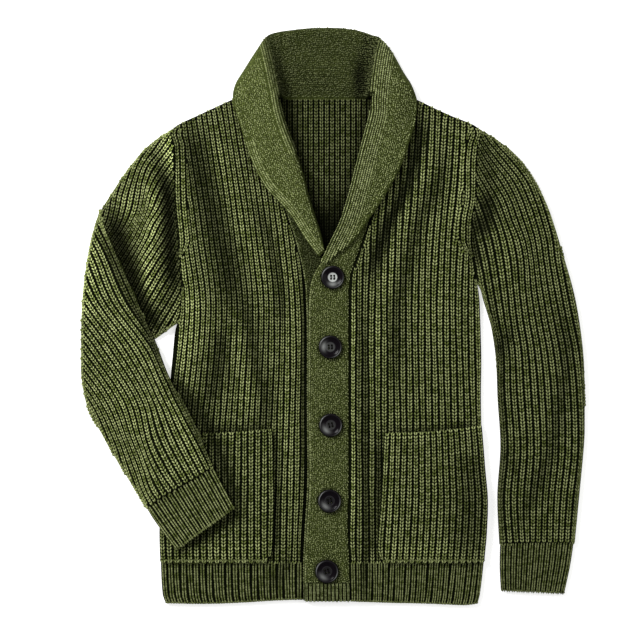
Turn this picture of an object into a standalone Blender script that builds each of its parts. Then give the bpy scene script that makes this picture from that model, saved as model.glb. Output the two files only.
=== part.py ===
"""Shawl collar cardigan in chunky rib knit, buttoned and laid flat on its back.

The garment lies in the XY plane, hem towards -Y, on the surface z = 0. Left and right are the
wearer's, so the left front is at +X. Tables are in millimetres and the model is in metres.
Every piece is a closed wall: an outer face with the ribs raised on it, and a plain inner face.
"""
import math

import bmesh
import bpy
from mathutils import Vector

MM = 0.001

# Driving dimensions, in millimetres.
CLOTH = 3.2            # knitted wall without its ribs
RIB = 1.7              # how far a rib stands up from its valley
SEAM = 0.3             # gap between pieces that are sewn or that lie on each other
FRONT_LOW = CLOTH + SEAM
BAND_THICK = 3.6       # the bands are a denser knit
BAND_CROWN = 0.8       # how much the upper band bulges along its middle
OVERBAND_LOW = FRONT_LOW + BAND_THICK + SEAM
POCKET_GAP = 0.7       # a pocket bridges the small unevenness of the ribs that it lies on
SIDE_ROLL = 9.0        # radius of the rounded side and shoulder edges
SEAM_ROLL = 3.0        # radius of an edge that is sewn to a neighbour
EDGE_THICK = 1.2       # what is left of a wall at its rounded edge
SEWN_THICK = 2.0       # what is left of a wall at a sewn edge
HEM_DROOP = 7.5
UNDERARM_LEFT = 42.0   # where the armholes end
UNDERARM_RIGHT = -10.0
SHOULDER_TIP = 244.0
FRONT_PITCH_STEPS = 2  # mesh columns for each rib
RIBS_RIGHT_FRONT = 24
RIBS_LEFT_FRONT = 21
RIBS_SLEEVE = 14
RIBS_UPPER_ARM = 22
RIBS_CUFF = 13
RIB_PITCH_FOREARM = 7.9
RIB_PITCH_NECK = 7.2
NECK_RIB = 0.55        # the ribs show less on the inside of the back
FOLD_THICK = 13.5      # the folded forearm, both layers and the loft between them
SHIFT_X = 0.05         # brings the garment's middle over the origin
SHIFT_Y = -0.75
SHARP_ANGLE = 28.0     # ribs stay crisp, rolled edges stay smooth
BUTTON_RADIUS = 15.2
BUTTON_THICK = 4.6

GREEN = (0.078, 0.09, 0.036, 1.0)
GREEN_BAND = (0.094, 0.108, 0.044, 1.0)
HORN = (0.022, 0.018, 0.022, 1.0)

# Sides of the body: y, right side x, left side x (the wearer's right is at -X).
BODY_SIDES = (
    (282.0, -131.5, 109.0),
    (263.5, -171.5, 148.0),
    (244.0, -209.0, 191.0),
    (222.0, -207.5, 189.0),
    (201.0, -206.5, 187.0),
    (152.0, -205.5, 186.0),
    (127.0, -203.5, 181.5),
    (102.5, -201.0, 180.5),
    (77.5, -199.5, 182.0),
    (51.5, -197.5, 186.5),
    (24.5, -197.5, 190.8),
    (-0.5, -200.0, 192.0),
    (-18.5, -205.5, 192.6),
    (-57.5, -209.5, 193.5),
    (-109.5, -214.5, 193.0),
    (-161.5, -219.0, 194.5),
    (-205.5, -223.0, 199.0),
    (-234.5, -224.5, 201.5),
    (-278.5, -226.0, 200.5),
    (-322.0, -224.5, 196.5),
    (-358.0, -222.0, 191.5),
    (-367.0, -218.0, 188.5),
)
# Where each front is sewn to its band, and above that runs on under the collar: y, x.
RIGHT_FRONT_SEAM = (
    (282.0, -102.5), (241.5, -96.0), (215.5, -89.5), (183.0, -79.5), (157.0, -70.0),
    (139.0, -63.0), (122.0, -57.0), (98.5, -49.5), (70.0, -42.0), (53.0, -38.5),
    (33.5, -36.0), (-18.5, -34.5), (-218.5, -34.0), (-273.5, -37.0), (-322.0, -39.5),
    (-375.5, -39.5),
)
LEFT_FRONT_SEAM = (
    (282.0, 79.5), (241.5, 71.5), (215.5, 66.5), (183.0, 61.0), (157.0, 57.0),
    (135.0, 51.5), (118.0, 45.5), (85.5, 34.5), (73.0, 30.5), (57.0, 24.0),
    (31.0, 21.5), (-95.0, 21.0), (-218.5, 21.0), (-291.5, 19.5), (-322.0, 22.0),
    (-375.5, 23.0),
)
# The first rib beside the band and the last one at the side: y, first x, last x.
RIGHT_FRONT_RIBS = (
    (282.0, -70.0, -238.0), (176.5, -53.5, -221.0), (98.5, -43.0, -210.5),
    (7.5, -35.0, -200.0), (-174.5, -35.0, -219.0), (-322.0, -38.0, -225.5),
    (-375.5, -38.0, -219.0),
)
LEFT_FRONT_RIBS = (
    (282.0, 35.0, 209.5), (176.5, 30.0, 203.0), (98.5, 24.5, 195.0),
    (7.5, 22.0, 192.0), (-174.5, 21.5, 197.0), (-322.0, 22.0, 197.5),
    (-375.5, 23.0, 190.0),
)
FRONT_SECTIONS = (282, 270, 256, 244, 215, 183, 150, 112, 66, 20, -25, -85, -150, -230, -321.0)
HEM_SECTIONS = (-321.3, -340.0, -360.0, -367.0)

# Bands: y, edge nearer the right side, edge nearer the left side.
BUTTON_BAND = (
    (139.0, -62.5, -43.0), (122.0, -56.5, -35.0), (98.5, -49.0, -24.5), (83.0, -45.0, -18.0),
    (70.0, -41.5, -6.0), (53.0, -38.0, 9.0), (33.5, -35.5, 15.0), (-18.5, -34.0, 15.0),
    (-109.5, -34.0, 15.0), (-218.5, -33.5, 14.0), (-273.5, -36.5, 12.0), (-328.0, -39.0, 13.0),
    (-367.0, -39.0, 13.0),
)
BUTTONHOLE_BAND = (
    (127.0, 37.0, 48.0), (112.0, 27.0, 43.2), (98.5, 17.0, 38.7), (83.0, 0.0, 33.3),
    (66.0, -17.0, 27.0), (50.5, -26.0, 22.8), (31.0, -30.0, 21.2), (-5.5, -31.3, 20.7),
    (-109.5, -31.5, 20.7), (-218.5, -30.5, 20.7), (-273.5, -33.5, 19.6), (-328.0, -36.5, 21.6),
    (-366.5, -36.5, 22.4),
)

# Soft folds of the fronts: ends of the fold's line, half width, height (below 0 is a trough).
FRONT_FOLDS = (
    # x0,     y0,     x1,     y1,   half, height
    (-98.0, 95.0, -92.0, -118.0, 13.0, -1.6),
    (-126.0, 110.0, -118.0, -110.0, 17.0, 1.5),
    (-178.0, 190.0, -158.0, 80.0, 12.0, -1.3),
    (-156.0, 205.0, -136.0, 110.0, 12.0, 1.4),
    (96.0, 175.0, 58.0, -40.0, 11.0, -1.8),
    (118.0, 170.0, 84.0, -70.0, 14.0, 1.8),
    (150.0, 130.0, 146.0, -100.0, 16.0, 0.9),
    (-62.0, 10.0, -60.0, -300.0, 12.0, 1.0),
)
FRONT_LOFT = 1.6       # air between front and back, away from every edge

# The straight left sleeve: inner and outer end of each section, height over all.
LEFT_SLEEVE = (
    # x_in,  y_in,  x_out,  y_out, high, fit to the armhole
    (187.4, 42.0, 191.3, 243.0, 8.6, 1.0),
    (188.2, 41.0, 213.0, 230.0, 9.6, 0.55),
    (189.2, 39.5, 236.5, 211.5, 10.6, 0.25),
    (190.8, 37.0, 260.0, 181.5, 11.2, 0.1),
    (192.8, 32.5, 281.0, 140.0, 11.6, 0.0),
    (196.0, 20.0, 299.0, 84.0, 11.8, 0.0),
    (201.5, 2.0, 313.5, 33.5, 11.6, 0.0),
    (207.0, -18.5, 321.5, -8.0, 11.6, 0.0),
    (212.5, -58.0, 327.0, -56.0, 11.4, 0.0),
    (214.7, -109.5, 328.4, -109.0, 11.2, 0.0),
    (218.3, -170.0, 328.0, -160.0, 10.8, 0.0),
    (214.3, -235.0, 322.0, -228.0, 10.4, 0.0),
    (217.0, -298.0, 315.5, -295.5, 10.0, 0.0),
)
LEFT_CUFF = (
    (218.0, -298.4, 314.0, -296.0, 8.4, 0.0),
    (217.5, -328.0, 309.5, -326.0, 8.6, 0.0),
    (219.0, -361.5, 302.0, -361.0, 8.2, 0.0),
)
SLEEVE_TROUGH = (286.0, -155.0, 246.0, -262.0, 12.0, -1.8)

# The bent right sleeve. The forearm lies over the upper arm and the front.
FOREARM = (
    # x_in,    y_in,   x_out,  y_out
    (-303.5, 133.0, -311.5, 127.5),
    (-295.0, 110.0, -318.5, 95.0),
    (-279.5, 75.0, -323.5, 52.5),
    (-261.5, 35.0, -327.5, 7.5),
    (-243.0, -7.0, -328.5, -38.0),
    (-229.0, -38.0, -328.0, -80.0),
    (-213.0, -78.0, -319.0, -123.0),
    (-197.5, -106.0, -302.5, -152.0),
    (-183.5, -131.0, -289.0, -176.5),
    (-167.5, -165.0, -268.0, -211.0),
    (-154.8, -195.5, -243.2, -250.0),
)
RIGHT_CUFF = (
    (-154.8, -195.9, -242.2, -249.8, 9.0, 0.0),
    (-141.0, -222.0, -223.8, -276.0, 9.0, 0.0),
    (-127.5, -247.5, -204.0, -303.0, 8.4, 0.0),
)
UPPER_ARM = (
    # x_in,    y_in,   x_out,  y_out,  high, low, fit to the armhole
    (-204.5, -10.0, -209.3, 243.4, 8.6, 0.0, 1.0),
    (-211.0, -14.5, -239.0, 223.0, 11.0, 0.0, 0.5),
    (-217.5, -20.0, -266.0, 192.5, 12.2, 0.0, 0.2),
    (-224.0, -25.0, -289.5, 158.5, 9.6, 0.6, 0.0),
    (-233.0, -31.0, -305.0, 128.5, 7.6, 0.6, 0.0),
    (-243.0, -36.0, -311.0, 118.0, 6.4, 0.6, 0.0),
)
# Lift of the forearm over what it lies on: ramps are measured from the body's side edge.
OVER_BODY = 9.8
OVER_POCKET = 6.4
RAMP_START = -30.0
RAMP_END = -4.0
POCKET_RAMP_START = -116.0
POCKET_RAMP_END = -140.0

# Pockets: y, right edge x, left edge x, and how much higher the left end of the section is.
RIGHT_POCKET = (
    (-155.0, -222.0, -80.0, 7.5), (-160.0, -222.3, -78.0, 6.0), (-174.0, -222.8, -77.3, 2.0),
    (-205.0, -223.2, -76.8, 0.0), (-240.0, -224.5, -76.0, 0.0), (-280.0, -226.0, -77.0, 0.0),
    (-306.0, -225.5, -78.5, 0.0), (-315.0, -225.0, -82.5, 0.0), (-320.2, -224.5, -90.0, 0.0),
)
LEFT_POCKET = (
    (-153.5, 66.5, 193.5, 10.5), (-158.5, 65.8, 194.4, 8.5), (-172.0, 65.0, 196.0, 3.0),
    (-200.0, 64.0, 198.4, 0.0), (-240.0, 62.0, 201.8, 0.0), (-285.0, 58.0, 200.3, 0.0),
    (-305.0, 57.5, 198.5, 0.0), (-315.0, 62.0, 197.5, 0.0), (-320.2, 69.0, 197.0, 0.0),
)

# The collar, section by section from the right tip, behind the neck, to the left tip.
# Each section runs from the roll at the neck to the free edge.
COLLAR = (
    # x_in,  y_in,  x_out,  y_out, z_in, z_mid, z_out, seat_in, seat, back
    (-10.5, 84.0, -18.0, 76.5, 12.4, 12.2, 11.8, 7.6, 7.6, 0),
    (-15.5, 107.5, -35.0, 98.5, 16.0, 15.0, 13.0, 3.5, 9.0, 0),
    (-23.5, 132.5, -52.0, 126.0, 20.0, 18.0, 15.0, 3.5, 10.6, 0),
    (-30.5, 154.5, -66.5, 144.0, 23.0, 20.5, 15.8, 3.5, 10.8, 0),
    (-39.0, 187.0, -87.0, 166.0, 25.0, 22.0, 16.2, 3.5, 10.8, 0),
    (-48.0, 214.0, -104.0, 197.5, 26.0, 23.0, 16.2, 3.5, 10.8, 0),
    (-60.0, 244.0, -115.5, 230.0, 27.0, 23.5, 16.2, 3.5, 10.8, 0),
    (-66.5, 265.0, -124.0, 259.0, 28.0, 24.0, 16.2, 3.5, 10.8, 0),
    (-69.5, 280.0, -130.5, 281.0, 29.0, 25.0, 15.5, 3.5, 10.0, 0),
    (-71.0, 284.0, -127.5, 301.5, 29.5, 25.5, 14.0, 3.5, 4.0, 0),
    (-70.0, 284.2, -117.0, 320.0, 29.5, 26.0, 14.0, 0, 0, 0),
    (-69.0, 284.4, -101.0, 345.0, 29.5, 27.0, 17.0, 0, 0, 0.2),
    (-67.5, 284.5, -87.0, 364.0, 28.0, 27.0, 20.0, 0, 0, 0.5),
    (-62.5, 283.2, -73.0, 369.8, 9.5, 14.0, 20.0, 0, 0, 1.0),
    (-53.0, 282.6, -54.0, 372.8, 6.6, 10.5, 18.0, 0, 0, 1.0),
    (-31.0, 282.4, -32.0, 375.2, 6.2, 9.6, 17.0, 0, 0, 1.0),
    (-9.0, 282.4, -9.0, 376.0, 6.2, 9.6, 16.5, 0, 0, 1.0),
    (13.0, 282.4, 14.0, 375.0, 6.2, 9.6, 17.0, 0, 0, 1.0),
    (33.0, 282.6, 36.0, 371.3, 6.6, 10.0, 18.0, 0, 0, 1.0),
    (42.5, 283.2, 51.0, 366.2, 9.5, 13.0, 20.0, 0, 0, 1.0),
    (47.5, 284.4, 61.0, 362.5, 28.0, 26.5, 20.5, 0, 0, 0.5),
    (49.0, 284.4, 76.0, 346.5, 29.0, 26.5, 17.0, 0, 0, 0.2),
    (50.0, 284.2, 92.0, 318.5, 29.5, 26.0, 14.0, 0, 0, 0),
    (51.0, 284.0, 102.5, 301.0, 29.5, 25.5, 14.0, 3.5, 4.0, 0),
    (50.5, 279.0, 109.5, 280.0, 29.0, 25.0, 15.5, 3.5, 10.0, 0),
    (48.5, 266.0, 108.5, 263.5, 28.0, 24.0, 16.2, 3.5, 10.8, 0),
    (45.0, 250.0, 105.5, 246.0, 27.5, 24.0, 16.4, 3.5, 10.8, 0),
    (36.5, 219.0, 99.0, 225.0, 27.0, 23.5, 16.6, 3.5, 10.8, 0),
    (29.0, 189.5, 87.0, 191.5, 26.5, 23.5, 17.5, 3.5, 12.0, 0),
    (22.5, 163.5, 66.0, 153.5, 25.5, 23.0, 18.8, 3.5, 13.8, 0),
    (10.5, 124.5, 43.5, 120.5, 22.5, 21.0, 18.2, 3.5, 13.8, 0),
    (-1.0, 100.0, 24.0, 94.5, 19.0, 18.2, 16.6, 3.5, 12.2, 0),
    (-14.5, 71.5, -9.5, 68.3, 15.6, 15.4, 15.2, 11.6, 11.6, 0),
)
COLLAR_SECTIONS = 49
COLLAR_RIDGE = 0.8
COLLAR_RIDGES = 3
COLLAR_RIDGE_STEP = 4.4

# Buttons: x, y of each centre.
BUTTONS = ((-0.5, 50.0), (-3.5, -40.5), (-3.0, -142.0), (-4.5, -240.5), (-8.0, -332.0))


def between(table, y, column=1):
    """Value of a column at y, on a smooth curve through a table whose first column falls."""
    if y >= table[0][0]:
        return table[0][column]
    if y <= table[-1][0]:
        return table[-1][column]
    at = next(i for i in range(len(table) - 1) if table[i + 1][0] <= y)
    y0, y1 = table[at][0], table[at + 1][0]
    v0, v1 = table[at][column], table[at + 1][column]

    def slope(i):
        low, high = max(i - 1, 0), min(i + 1, len(table) - 1)
        return (table[high][column] - table[low][column]) / (table[high][0] - table[low][0])

    run = y1 - y0
    t = (y - y0) / run
    return (
        v0 * (2 * t**3 - 3 * t**2 + 1)
        + run * slope(at) * (t**3 - 2 * t**2 + t)
        + v1 * (-2 * t**3 + 3 * t**2)
        + run * slope(at + 1) * (t**3 - t**2)
    )


def resample(table, count):
    """Sections evenly spread along a table's own, on smooth curves that stay within its rows."""
    sections = []
    for k in range(count):
        at = k * (len(table) - 1) / (count - 1)
        i = min(int(at), len(table) - 2)
        t = at - i
        before, after = table[max(i - 1, 0)], table[min(i + 2, len(table) - 1)]
        row = []
        for p, a, b, n in zip(before, table[i], table[i + 1], after):
            bend = 2 * p - 5 * a + 4 * b - n
            value = a + 0.5 * t * (b - p + t * (bend + t * (3 * (a - b) + n - p)))
            row.append(min(max(value, min(a, b)), max(a, b)))
        sections.append(tuple(row))
    return sections


def step(t):
    """Soft step from 0 to 1."""
    t = min(max(t, 0.0), 1.0)
    return t * t * (3 - 2 * t)


def roll(distance, radius):
    """Rounded edge: 0 at the edge, 1 from the radius inwards."""
    t = min(max(distance / radius, 0.0), 1.0)
    return math.sqrt(1 - (1 - t) ** 2)


def fold_height(fold, x, y):
    """Height that one soft fold adds at a point: bell-shaped across, fading at both ends."""
    x0, y0, x1, y1, half, height = fold
    dx, dy = x1 - x0, y1 - y0
    length = math.hypot(dx, dy)
    along = ((x - x0) * dx + (y - y0) * dy) / length**2
    off = ((x - x0) * dy - (y - y0) * dx) / length
    ends = step(1 + 4 * along) * step(1 + 4 * (1 - along))
    return height * ends * math.exp(-((off / half) ** 2))


def front_lift(x, y):
    """Air between the back and a front: loft, folds, and the rise to the overlapping band."""
    side = min(x - between(BODY_SIDES, y, 1), between(BODY_SIDES, y, 2) - x)
    hem = step((y + 372.0) / 60)
    shoulder = step((285.0 - y) / 60)
    inside = step((side - 3) / 38) * hem * shoulder
    lift = FRONT_LOFT + sum(fold_height(fold, x, y) for fold in FRONT_FOLDS)
    lift = max(lift, 0.0) * inside
    if x > 0:
        rise = step(1.3 - (x - between(LEFT_FRONT_SEAM, y)) / 26) * step((165.0 - y) / 35)
        lift += (OVERBAND_LOW - FRONT_LOW - lift) * rise
    return lift


def free_edge(x, y):
    """How free the side edge is: 0 where the sleeve is sewn on, 1 at the side and shoulder."""
    underarm = UNDERARM_LEFT if x > 0 else UNDERARM_RIGHT
    return max(step((underarm + 6 - y) / 12), step((y - SHOULDER_TIP + 4) / 8))


def side_roll(x, y):
    """Radius of the side edge."""
    return SEAM_ROLL + (SIDE_ROLL - SEAM_ROLL) * free_edge(x, y)


def front_skin(x, y):
    """Outer face of a front in its valleys, rounded down at the sides and the shoulders."""
    side = min(x - between(BODY_SIDES, y, 1), between(BODY_SIDES, y, 2) - x)
    edge = SEWN_THICK + (EDGE_THICK - SEWN_THICK) * free_edge(x, y)
    return FRONT_LOW + edge + (CLOTH - edge + front_lift(x, y)) * roll(side, side_roll(x, y))


def rib_height(place):
    """Height of the ribs at a place counted in ribs: 0 in a valley, RIB on a rib."""
    return RIB * (0.5 - 0.5 * math.cos(2 * math.pi * place))


def zip_rows(bm, row_a, row_b):
    """Fill between two rows of (place, vertex) that may hold unlike numbers of points."""
    i, j = 0, 0
    while i < len(row_a) - 1 or j < len(row_b) - 1:
        here_a, here_b = row_a[i][1], row_b[j][1]
        if i == len(row_a) - 1:
            j += 1
            bm.faces.new((here_a, row_b[j][1], here_b))
        elif j == len(row_b) - 1:
            i += 1
            bm.faces.new((here_a, row_a[i][1], here_b))
        else:
            next_a, next_b = row_a[i + 1], row_b[j + 1]
            if abs(next_a[0] - next_b[0]) < 0.25:
                i, j = i + 1, j + 1
                bm.faces.new((here_a, next_a[1], next_b[1], here_b))
            elif next_a[0] < next_b[0]:
                i += 1
                bm.faces.new((here_a, next_a[1], here_b))
            else:
                j += 1
                bm.faces.new((here_a, next_b[1], here_b))


def cloth_material(name, colour, roughness):
    """Plain material of one cloth or of the buttons."""
    material = bpy.data.materials.new(name)
    material.use_nodes = True
    shader = material.node_tree.nodes["Principled BSDF"]
    shader.inputs["Base Color"].default_value = colour
    shader.inputs["Roughness"].default_value = roughness
    shader.inputs["Metallic"].default_value = 0.0
    return material


def add_object(name, bm, material):
    """Turn a bmesh in millimetres into a smooth object of the garment's collection."""
    bmesh.ops.translate(bm, vec=Vector((SHIFT_X, SHIFT_Y, 0.0)), verts=bm.verts)
    bmesh.ops.scale(bm, vec=Vector((MM, MM, MM)), verts=bm.verts)
    bmesh.ops.recalc_face_normals(bm, faces=bm.faces)
    mesh = bpy.data.meshes.new(name)
    bm.to_mesh(mesh)
    bm.free()
    mesh.shade_smooth()
    mesh.set_sharp_from_angle(angle=math.radians(SHARP_ANGLE))
    mesh.materials.append(material)
    item = bpy.data.objects.new(name, mesh)
    garment.objects.link(item)
    item.parent = root
    return item


def wall(name, outer, inner, material):
    """Closed wall between two faces, each a list of rows of (place, x, y, z)."""
    bm = bmesh.new()
    faces = []
    for rows in (outer, inner):
        faces.append([[(place, bm.verts.new((x, y, z))) for place, x, y, z in row] for row in rows])
    for rows in faces:
        for row_a, row_b in zip(rows, rows[1:]):
            zip_rows(bm, row_a, row_b)
    top, under = faces
    for end in (0, -1):
        zip_rows(bm, top[end], under[end])
        for at in range(len(top) - 1):
            bm.faces.new(
                (top[at][end][1], top[at + 1][end][1], under[at + 1][end][1], under[at][end][1])
            )
    return add_object(name, bm, material)


def marks(low, high, first, pitch, roll_low, roll_high):
    """Places across a section: its rounded edges, and each rib and valley between them."""
    xs = [low, low + 0.3 * roll_low, low + roll_low]
    count = int((high - low) / abs(pitch) * FRONT_PITCH_STEPS) + 4 * RIBS_RIGHT_FRONT
    ribs = [first + k * pitch / FRONT_PITCH_STEPS for k in range(-count, count + 1)]
    inside = [x for x in ribs if low + roll_low + 1.2 < x < high - roll_high - 1.2]
    xs += sorted(inside)
    xs += [high - roll_high, high - 0.3 * roll_high, high]
    return xs


def ribbed_section(level, low, high, first, pitch, rolls, skin, place_sign=1, rise=0.0):
    """Outer points of one section, level or rising to the left, whose ribs cross it."""
    row = []
    for x in marks(low, high, first, pitch, *rolls):
        y = level + rise * ((x - low) / (high - low)) ** 2
        place = (x - first) / pitch
        edge = min(x - low - rolls[0], high - rolls[1] - x)
        rib = rib_height(place) if edge > 0.5 else 0.0
        row.append((place_sign * place, x, y, skin(x, y) + rib))
    return row


def plain_section(level, low, high, height, count, inset=0.0, rise=0.0):
    """Points of a plain face across one section, from low to high."""
    row = []
    for k in range(count + 1):
        x = low + inset + (high - low - 2 * inset) * k / count
        y = level + rise * ((x - low) / (high - low)) ** 2
        row.append((k, x, y, height(x, y)))
    return row


def scaled(row, like):
    """Give a plain row the same range of places as the ribbed row that it closes."""
    start, end = like[0][0], like[-1][0]
    span = row[-1][0] - row[0][0]
    return [(start + (end - start) * (p - row[0][0]) / span, x, y, z) for p, x, y, z in row]


def front(name, limits, ribs_table, ribs):
    """One front: level sections between the side and the band seam."""
    outer, inner = [], []
    for y in FRONT_SECTIONS:
        low, high = limits(y)
        first, last = between(ribs_table, y, 1), between(ribs_table, y, 2)
        pitch = (last - first) / ribs
        free = side_roll(low + high, y)
        rolls = (free, SEAM_ROLL) if low + high < 0 else (SEAM_ROLL, free)
        row = ribbed_section(
            y, low, high, first, pitch, rolls, front_or_seam(low, high), 1 if pitch > 0 else -1
        )
        under = plain_section(y, low, high, lambda x, v: FRONT_LOW + front_lift(x, v), 10)
        outer.append(row)
        inner.append(scaled(under, row))
    return wall(name, outer, inner, green)


def front_or_seam(low, high):
    """Skin of a front that also dips where it is sewn to its band."""
    seam = high if high < 0 else low

    def skin(x, y):
        return front_skin(x, y) - 1.3 * (1 - roll(abs(x - seam), SEAM_ROLL))

    return skin


def right_limits(y):
    return between(BODY_SIDES, y, 1), between(RIGHT_FRONT_SEAM, y)


def left_limits(y):
    return between(LEFT_FRONT_SEAM, y), between(BODY_SIDES, y, 2)


def back_panel():
    """The back: plain where it lies, with ribs on the inside that shows in the neck."""
    outer, inner = [], []
    for y in FRONT_SECTIONS:
        low, high = between(BODY_SIDES, y, 1), between(BODY_SIDES, y, 2)
        neck_low, neck_high = -74.0, 56.0
        xs = [low, low + 3.0]
        count = round((neck_high - neck_low) / RIB_PITCH_NECK * 2)
        xs += [low + 3 + (neck_low - low - 3) * k / 3 for k in (1, 2)]
        xs += [neck_low + (neck_high - neck_low) * k / count for k in range(count + 1)]
        xs += [neck_high + (high - 3 - neck_high) * k / 3 for k in (1, 2)]
        xs += [high - 3.0, high]
        shown = step((y - 60) / 30)
        row = []
        for x in xs:
            edge = min(x - low, high - x)
            place = (x - neck_low) / RIB_PITCH_NECK
            rib = rib_height(place) * shown if neck_low <= x <= neck_high else 0.0
            face = CLOTH * (0.55 + 0.45 * roll(edge, 3.0))
            row.append((place, x, y, face - NECK_RIB * (RIB * shown - rib)))
        outer.append(row)
        under = plain_section(y, low, high, lambda x, v: 0.0, 4, inset=1.0)
        inner.append(scaled(under, row))
    return wall("back", outer, inner, green)


def hem_back():
    """Hem rib of the back, plain because it lies between the floor and the front hem."""
    outer, inner = [], []
    for y in HEM_SECTIONS:
        low, high = between(BODY_SIDES, y, 1), between(BODY_SIDES, y, 2)
        row = plain_section(y, low, high, lambda x, v: CLOTH, 8)
        outer.append(row)
        inner.append(plain_section(y, low, high, lambda x, v: 0.0, 8, inset=1.0))
    bend_hem(outer)
    bend_hem(inner)
    return wall("hem_back", outer, inner, green)


def bend_hem(rows):
    """The hem droops a little towards both sides."""
    for at in (-2, -1):
        droop = HEM_DROOP * (1.0 if at == -1 else 0.8)
        rows[at] = [(p, x, y - droop * step((abs(x) - 40) / 150), z) for p, x, y, z in rows[at]]


def hem_front(name, limits, ribs_table, ribs):
    """Hem rib of one front, with finer ribs than the front."""
    outer, inner = [], []
    for y in HEM_SECTIONS:
        low, high = limits(y)
        first, last = between(ribs_table, y, 1), between(ribs_table, y, 2)
        pitch = (last - first) / ribs
        rolls = (SIDE_ROLL, SEAM_ROLL) if low + high < 0 else (SEAM_ROLL, SIDE_ROLL)
        row = ribbed_section(
            y, low, high, first, pitch, rolls, front_or_seam(low, high), 1 if pitch > 0 else -1
        )
        under = plain_section(y, low, high, lambda x, v: FRONT_LOW + front_lift(x, v), 10)
        outer.append(row)
        inner.append(scaled(under, row))
    bend_hem(outer)
    bend_hem(inner)
    return wall(name, outer, inner, green)


def band(name, table, low_z, crown):
    """One front band, a flat strip of dense knit with rounded edges."""
    outer, inner = [], []
    for y, low, high in table:
        width = high - low
        row = []
        for share in (0.0, 0.05, 0.15, 0.5, 0.85, 0.95, 1.0):
            x = low + width * share
            edge = roll(min(share, 1 - share) * width, 2.5)
            z = low_z + 1.2 + (BAND_THICK - 1.2) * edge + crown * math.sin(math.pi * share)
            row.append((share, x, y, z))
        outer.append(row)
        inner.append([(share, low + width * share, y, low_z) for share in (0.0, 0.5, 1.0)])
    return wall(name, outer, inner, green_band)


def pocket(name, table, ribs_table, ribs_front):
    """Patch pocket: made from the front's own face, moved out by the ribs and the seam gap."""
    outer, inner = [], []
    rows = len(table)
    for at, (y, low, high, rise) in enumerate(table):
        first, last = between(ribs_table, y, 1), between(ribs_table, y, 2)
        pitch = (last - first) / ribs_front
        ends = 0.5 if at in (0, rows - 1) else 1.0

        def lower(x, v):
            return front_skin(x, v) + RIB + POCKET_GAP

        def skin(x, v):
            edge = min(x - low, high - x)
            return lower(x, v) + CLOTH * (0.45 + 0.55 * roll(edge, SEAM_ROLL) * ends)

        row = ribbed_section(
            y, low, high, first, pitch, (SEAM_ROLL, SEAM_ROLL), skin, 1 if pitch > 0 else -1, rise
        )
        if ends < 1:
            row = [(p, x, v, min(z, skin(x, v) + 0.5 * RIB)) for p, x, v, z in row]
        outer.append(row)
        inner.append(scaled(plain_section(y, low, high, lower, 12, rise=rise), row))
    return wall(name, outer, inner, green)


def armhole(y, column):
    """Side of the body at y, straight between the fronts' own sections."""
    above = min((v for v in FRONT_SECTIONS if v >= y), default=FRONT_SECTIONS[0])
    below = max((v for v in FRONT_SECTIONS if v < y), default=FRONT_SECTIONS[-1])
    share = (y - below) / (above - below)
    low, high = between(BODY_SIDES, below, column), between(BODY_SIDES, above, column)
    return low + (high - low) * share


def armhole_bow(share, chord):
    """How far the armhole lies from the straight line between its two ends."""
    x = chord[0] + (chord[2] - chord[0]) * share
    y = chord[1] + (chord[3] - chord[1]) * share
    return armhole(y, 2 if x > 0 else 1) + math.copysign(SEAM, x) - x


def level_shares(section):
    """Shares of a sleeve section that lie level with the fronts' own sections."""
    low, high = section[1] + 12.0, section[3] - 1.5
    run = section[3] - section[1]
    return [(y - section[1]) / run for y in reversed(FRONT_SECTIONS) if low < y < high]


def across(section, share, fit=0.0):
    """Point of a section at a share of its width; fit bends it to the armhole's curve."""
    x = section[0] + (section[2] - section[0]) * share
    y = section[1] + (section[3] - section[1]) * share
    if fit > 0:
        x += armhole_bow(share, LEFT_SLEEVE[0] if x > 0 else UPPER_ARM[0]) * fit
    return x, y


def laid_tube(name, table, ribs, floor, material, relief):
    """A sleeve or cuff laid flat: one wall wrapped round, its edges meeting at the underarm."""
    outer, inner = [], []
    shares = level_shares(table[0]) if table[0][5] else [0.25, 0.5, 0.75]
    for section in table:
        width = math.hypot(section[2] - section[0], section[3] - section[1])
        high, fit = section[4], section[5]
        middle = high * 0.45
        turn = CLOTH / width
        edge_share = min(7.0 / width, 0.12)
        row, lining = [], []

        def put(rows, place, share, z):
            x, y = across(section, share, fit)
            rows.append((place, x, y, floor(x, y) + z))

        put(row, 0.0, 0.0, middle - SEAM / 2)
        for place, share, z in ((0.5, 0.25 * edge_share, 1.0), (1, edge_share, 0.0)):
            put(row, place, share, z)
        for share in shares:
            put(row, 1 + 2 * share, share, 0.0)
        put(row, 3, 1 - edge_share, 0.0)
        put(row, 3.5, 1 - 0.25 * edge_share, 1.0)
        put(row, 4, 1.0, middle)
        steps = ribs * 2
        for k in range(1, steps):
            share = 1 - k / steps
            edge = min(share, 1 - share) * width
            rise = roll(edge, SIDE_ROLL)
            rib = relief * (0.5 - 0.5 * math.cos(math.pi * k)) * rise
            x, y = across(section, share)
            crease = fold_height(SLEEVE_TROUGH, x, y)
            put(row, 4 + k, share, middle + (high - relief - middle + crease) * rise + rib)
        put(row, 4 + steps, 0.0, middle + SEAM / 2)

        top = high - relief - CLOTH
        put(lining, 0.0, turn, middle - SEAM / 2)
        put(lining, 1, turn + edge_share, CLOTH)
        for share in shares[1:-1]:
            put(lining, 1 + 2 * share, share, CLOTH)
        put(lining, 3, 1 - turn - edge_share, CLOTH)
        put(lining, 4, 1 - turn, middle)
        for share in reversed(shares):
            x, y = across(section, share)
            crease = fold_height(SLEEVE_TROUGH, x, y)
            gap = max(top + crease, CLOTH + 0.5)
            put(lining, 4 + steps * (1 - share), share, gap)
        put(lining, 4 + steps, turn, middle + SEAM / 2)
        outer.append(row)
        inner.append(lining)
    return wall(name, outer, inner, material)


def on_floor(x, y):
    return 0.0


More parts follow.
